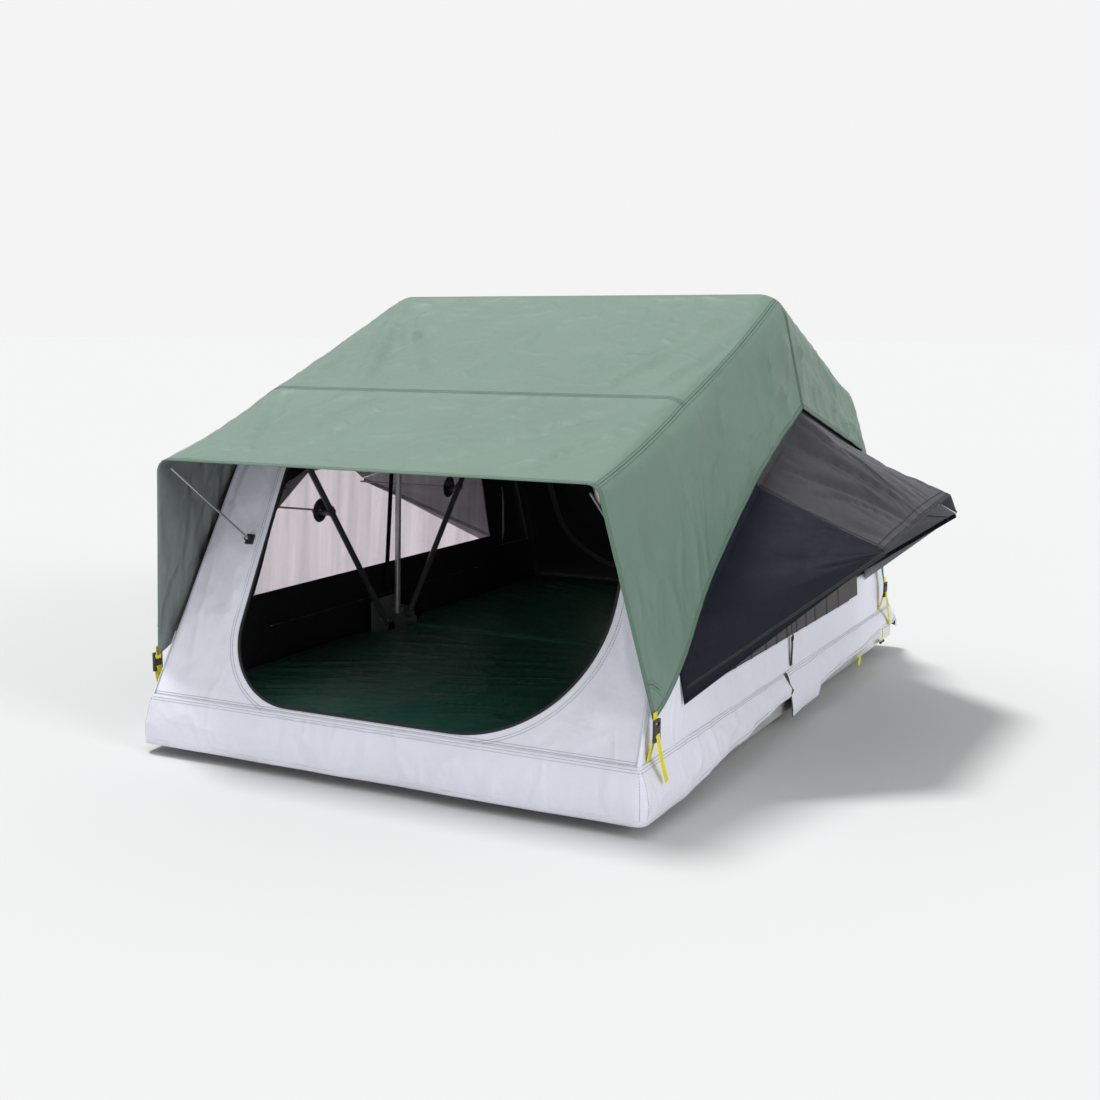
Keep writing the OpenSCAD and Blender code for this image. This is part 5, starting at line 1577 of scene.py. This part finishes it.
def turned_bar(name, centre):
    """Round bar along Y with a waist in the middle and rounded ends."""
    ring = np.radians(np.linspace(0, 360, BAR_SIDES, endpoint=False))
    verts = []
    for s in np.linspace(-1, 1, BAR_RINGS):
        end = math.sqrt(max(0.02, 1 - max(0.0, (abs(s) - 0.9) / 0.1) ** 2))
        r = BAR_RADIUS * (0.80 + 0.20 * abs(s)) * end
        verts += [centre + np.array([r * math.cos(a), s * BAR_HALF, r * math.sin(a)]) for a in ring]
    faces = [face[::-1] for face in ring_faces(BAR_RINGS, BAR_SIDES)]
    faces += [range(BAR_SIDES), range(len(verts) - 1, len(verts) - BAR_SIDES - 1, -1)]
    verts = np.array(verts)
    return mesh_piece(name, verts, faces, verts[:, :2], np.zeros(len(faces)), [PLASTIC])


toggle_runs = []
for side, edge in ((-1, low[0]), (1, high[0])):
    x, y, foot = abs(edge) - BAR_RADIUS, toggle_y, low[2]
    tape = [(x, y, foot + 0.006), (x + 0.001, y + 0.001, foot + 0.030), (x, y, foot + 0.062)]
    toggle_runs += [strap_run(tape, 0.006, side), strap_run(STRAP_END, 0.020, side)]
taped("rear_toggle_tapes", toggle_runs, YELLOW, "rear_base")
for hand, x in (("left", low[0] + BAR_RADIUS), ("right", high[0] - BAR_RADIUS)):
    bar = turned_bar(hand + "_toggle_bar", np.array([x, toggle_y, low[2] + 0.0046]))
    settle(bar, "rear_base", ["rear_toggles"])
print("toggles at y", round(toggle_y, 3))

# %% [markdown]
# ## Finishes for the hard parts
# The tubes, plates, rods and base keep their solids, whose shapes are right. They only need their
# finishes.

# %% Hard parts
HARD = (
    (BOARD, ["rear_panel", "front_panel"]),
    (ALLOY, ["rear_edge_frame", "front_edge_frame", "mounting_rails", "support_rails"]),
    (PLASTIC, ["rear_rail_caps", "front_rail_caps", "rod_clips", "rear_tie_hooks", "front_tie_hooks"]),
    (PLATE, ["rear_hinge_plates", "front_hinge_plates"]),
    (STEEL, ["rear_hinge_screws", "front_hinge_screws", "hinge_pins", "rear_pivot_pins", "front_pivot_pins",
             "canopy_rod_left", "canopy_rod_right"]),
    (GUNMETAL, ["front_bow", "rear_bow", "front_rod_brackets", "rear_rod_brackets", "awning_rod_front_left",
                "awning_rod_front_right", "awning_rod_rear_left", "awning_rod_rear_right"]),
    (BRIGHT, ["centre_bow"]),
)
for material, names in HARD:
    for name in names:
        mesh = nodes[name].data
        mesh.materials.clear()
        mesh.materials.append(material)
print("hard parts:", sum(len(names) for _, names in HARD))

# %% [markdown]
# ## Floor and world
# A pale floor meets a pale world. The camera and glossy surfaces see the world's bright backdrop, while
# the tent is lit by a dimmer sky, so a white background costs no extra light on the cloth.

# %% Floor and world
floor_finish = Finish("studio_floor")
floor_grain = floor_finish.noise(floor_finish.place, 0.6, 2.0)
floor_tint = floor_finish.mix(floor_grain, shaded((0.658,) * 3), shaded((0.662,) * 3))
floor_finish.surface(floor_finish.add("ShaderNodeBsdfDiffuse", Color=floor_tint).outputs[0])
bpy.ops.mesh.primitive_plane_add(size=240.0, location=(0, 0, -0.0005))
floor = bpy.context.object
floor.name = "studio_floor"
floor.data.materials.append(floor_finish.material)

world = bpy.data.worlds.new("studio")
bpy.context.scene.world = world
world.use_nodes = True
studio = NodeMaker(world.node_tree)
rays = studio.add("ShaderNodeLightPath").outputs
seen = studio.maths("MAXIMUM", rays["Is Camera Ray"], rays["Is Glossy Ray"])
seen = studio.maths("MAXIMUM", seen, rays["Is Transmission Ray"])
sky = studio.add("ShaderNodeBackground", Color=(0.98, 0.99, 1.0, 1.0), Strength=0.55)
backdrop = studio.add("ShaderNodeBackground", Color=(0.905, 0.905, 0.905, 1.0))
choice = studio.add("ShaderNodeMixShader", i0=seen, i1=sky.outputs[0], i2=backdrop.outputs[0])
studio.add("ShaderNodeOutputWorld", Surface=choice.outputs[0])
print("world nodes:", len(world.node_tree.nodes))

# %% [markdown]
# ## Light and camera
# A soft sun from above makes the roof lighter than the sides, and two weaker ones from the front and the
# right open up the shadows. Suns light the floor evenly, so no horizon shows. The camera stands where the
# photograph's did, worked out from the straight edges of the tent.


# %% Lamps and camera
def stand(item, across, upward, back, place=(0.0, 0.0, 0.0)):
    """Puts a lamp or camera at a place, with its own axes along three directions."""
    bpy.context.scene.collection.objects.link(item)
    rows = [[across[k], upward[k], back[k], place[k]] for k in range(3)]
    item.matrix_world = Matrix(rows + [[0, 0, 0, 1]])


def sun(name, direction, strength, spread):
    data = bpy.data.lights.new(name, "SUN")
    data.energy = strength
    data.angle = math.radians(spread)
    back = unit(np.array(direction, float))
    across = unit(np.cross([0, 0, 1.0], back))
    stand(bpy.data.objects.new(name, data), across, np.cross(back, across), back)


sun("overhead", (-0.34, 0.06, 0.94), 2.35, 14.0)
sun("front", (0.05, -0.97, 0.20), 0.42, 30.0)
sun("right", (0.90, -0.20, 0.38), 0.92, 22.0)

EYE = (1.936, -3.932, 1.116)
YAW, PITCH, ROLL = math.radians(27.18), math.radians(8.71), math.radians(0.21)
look = np.array([-math.sin(YAW) * math.cos(PITCH), math.cos(YAW) * math.cos(PITCH), -math.sin(PITCH)])
level = np.array([math.cos(YAW), math.sin(YAW), 0.0])
upright = np.cross(level, look)
right = math.cos(ROLL) * level + math.sin(ROLL) * upright
up = math.cos(ROLL) * upright - math.sin(ROLL) * level
camera_data = bpy.data.cameras.new("photo_camera")
camera_data.sensor_width = 36.0
camera_data.lens = 47.47
camera = bpy.data.objects.new("photo_camera", camera_data)
stand(camera, right, up, -look, EYE)
bpy.context.scene.camera = camera
bpy.context.scene.view_settings.view_transform = "Standard"
print("camera at", EYE)
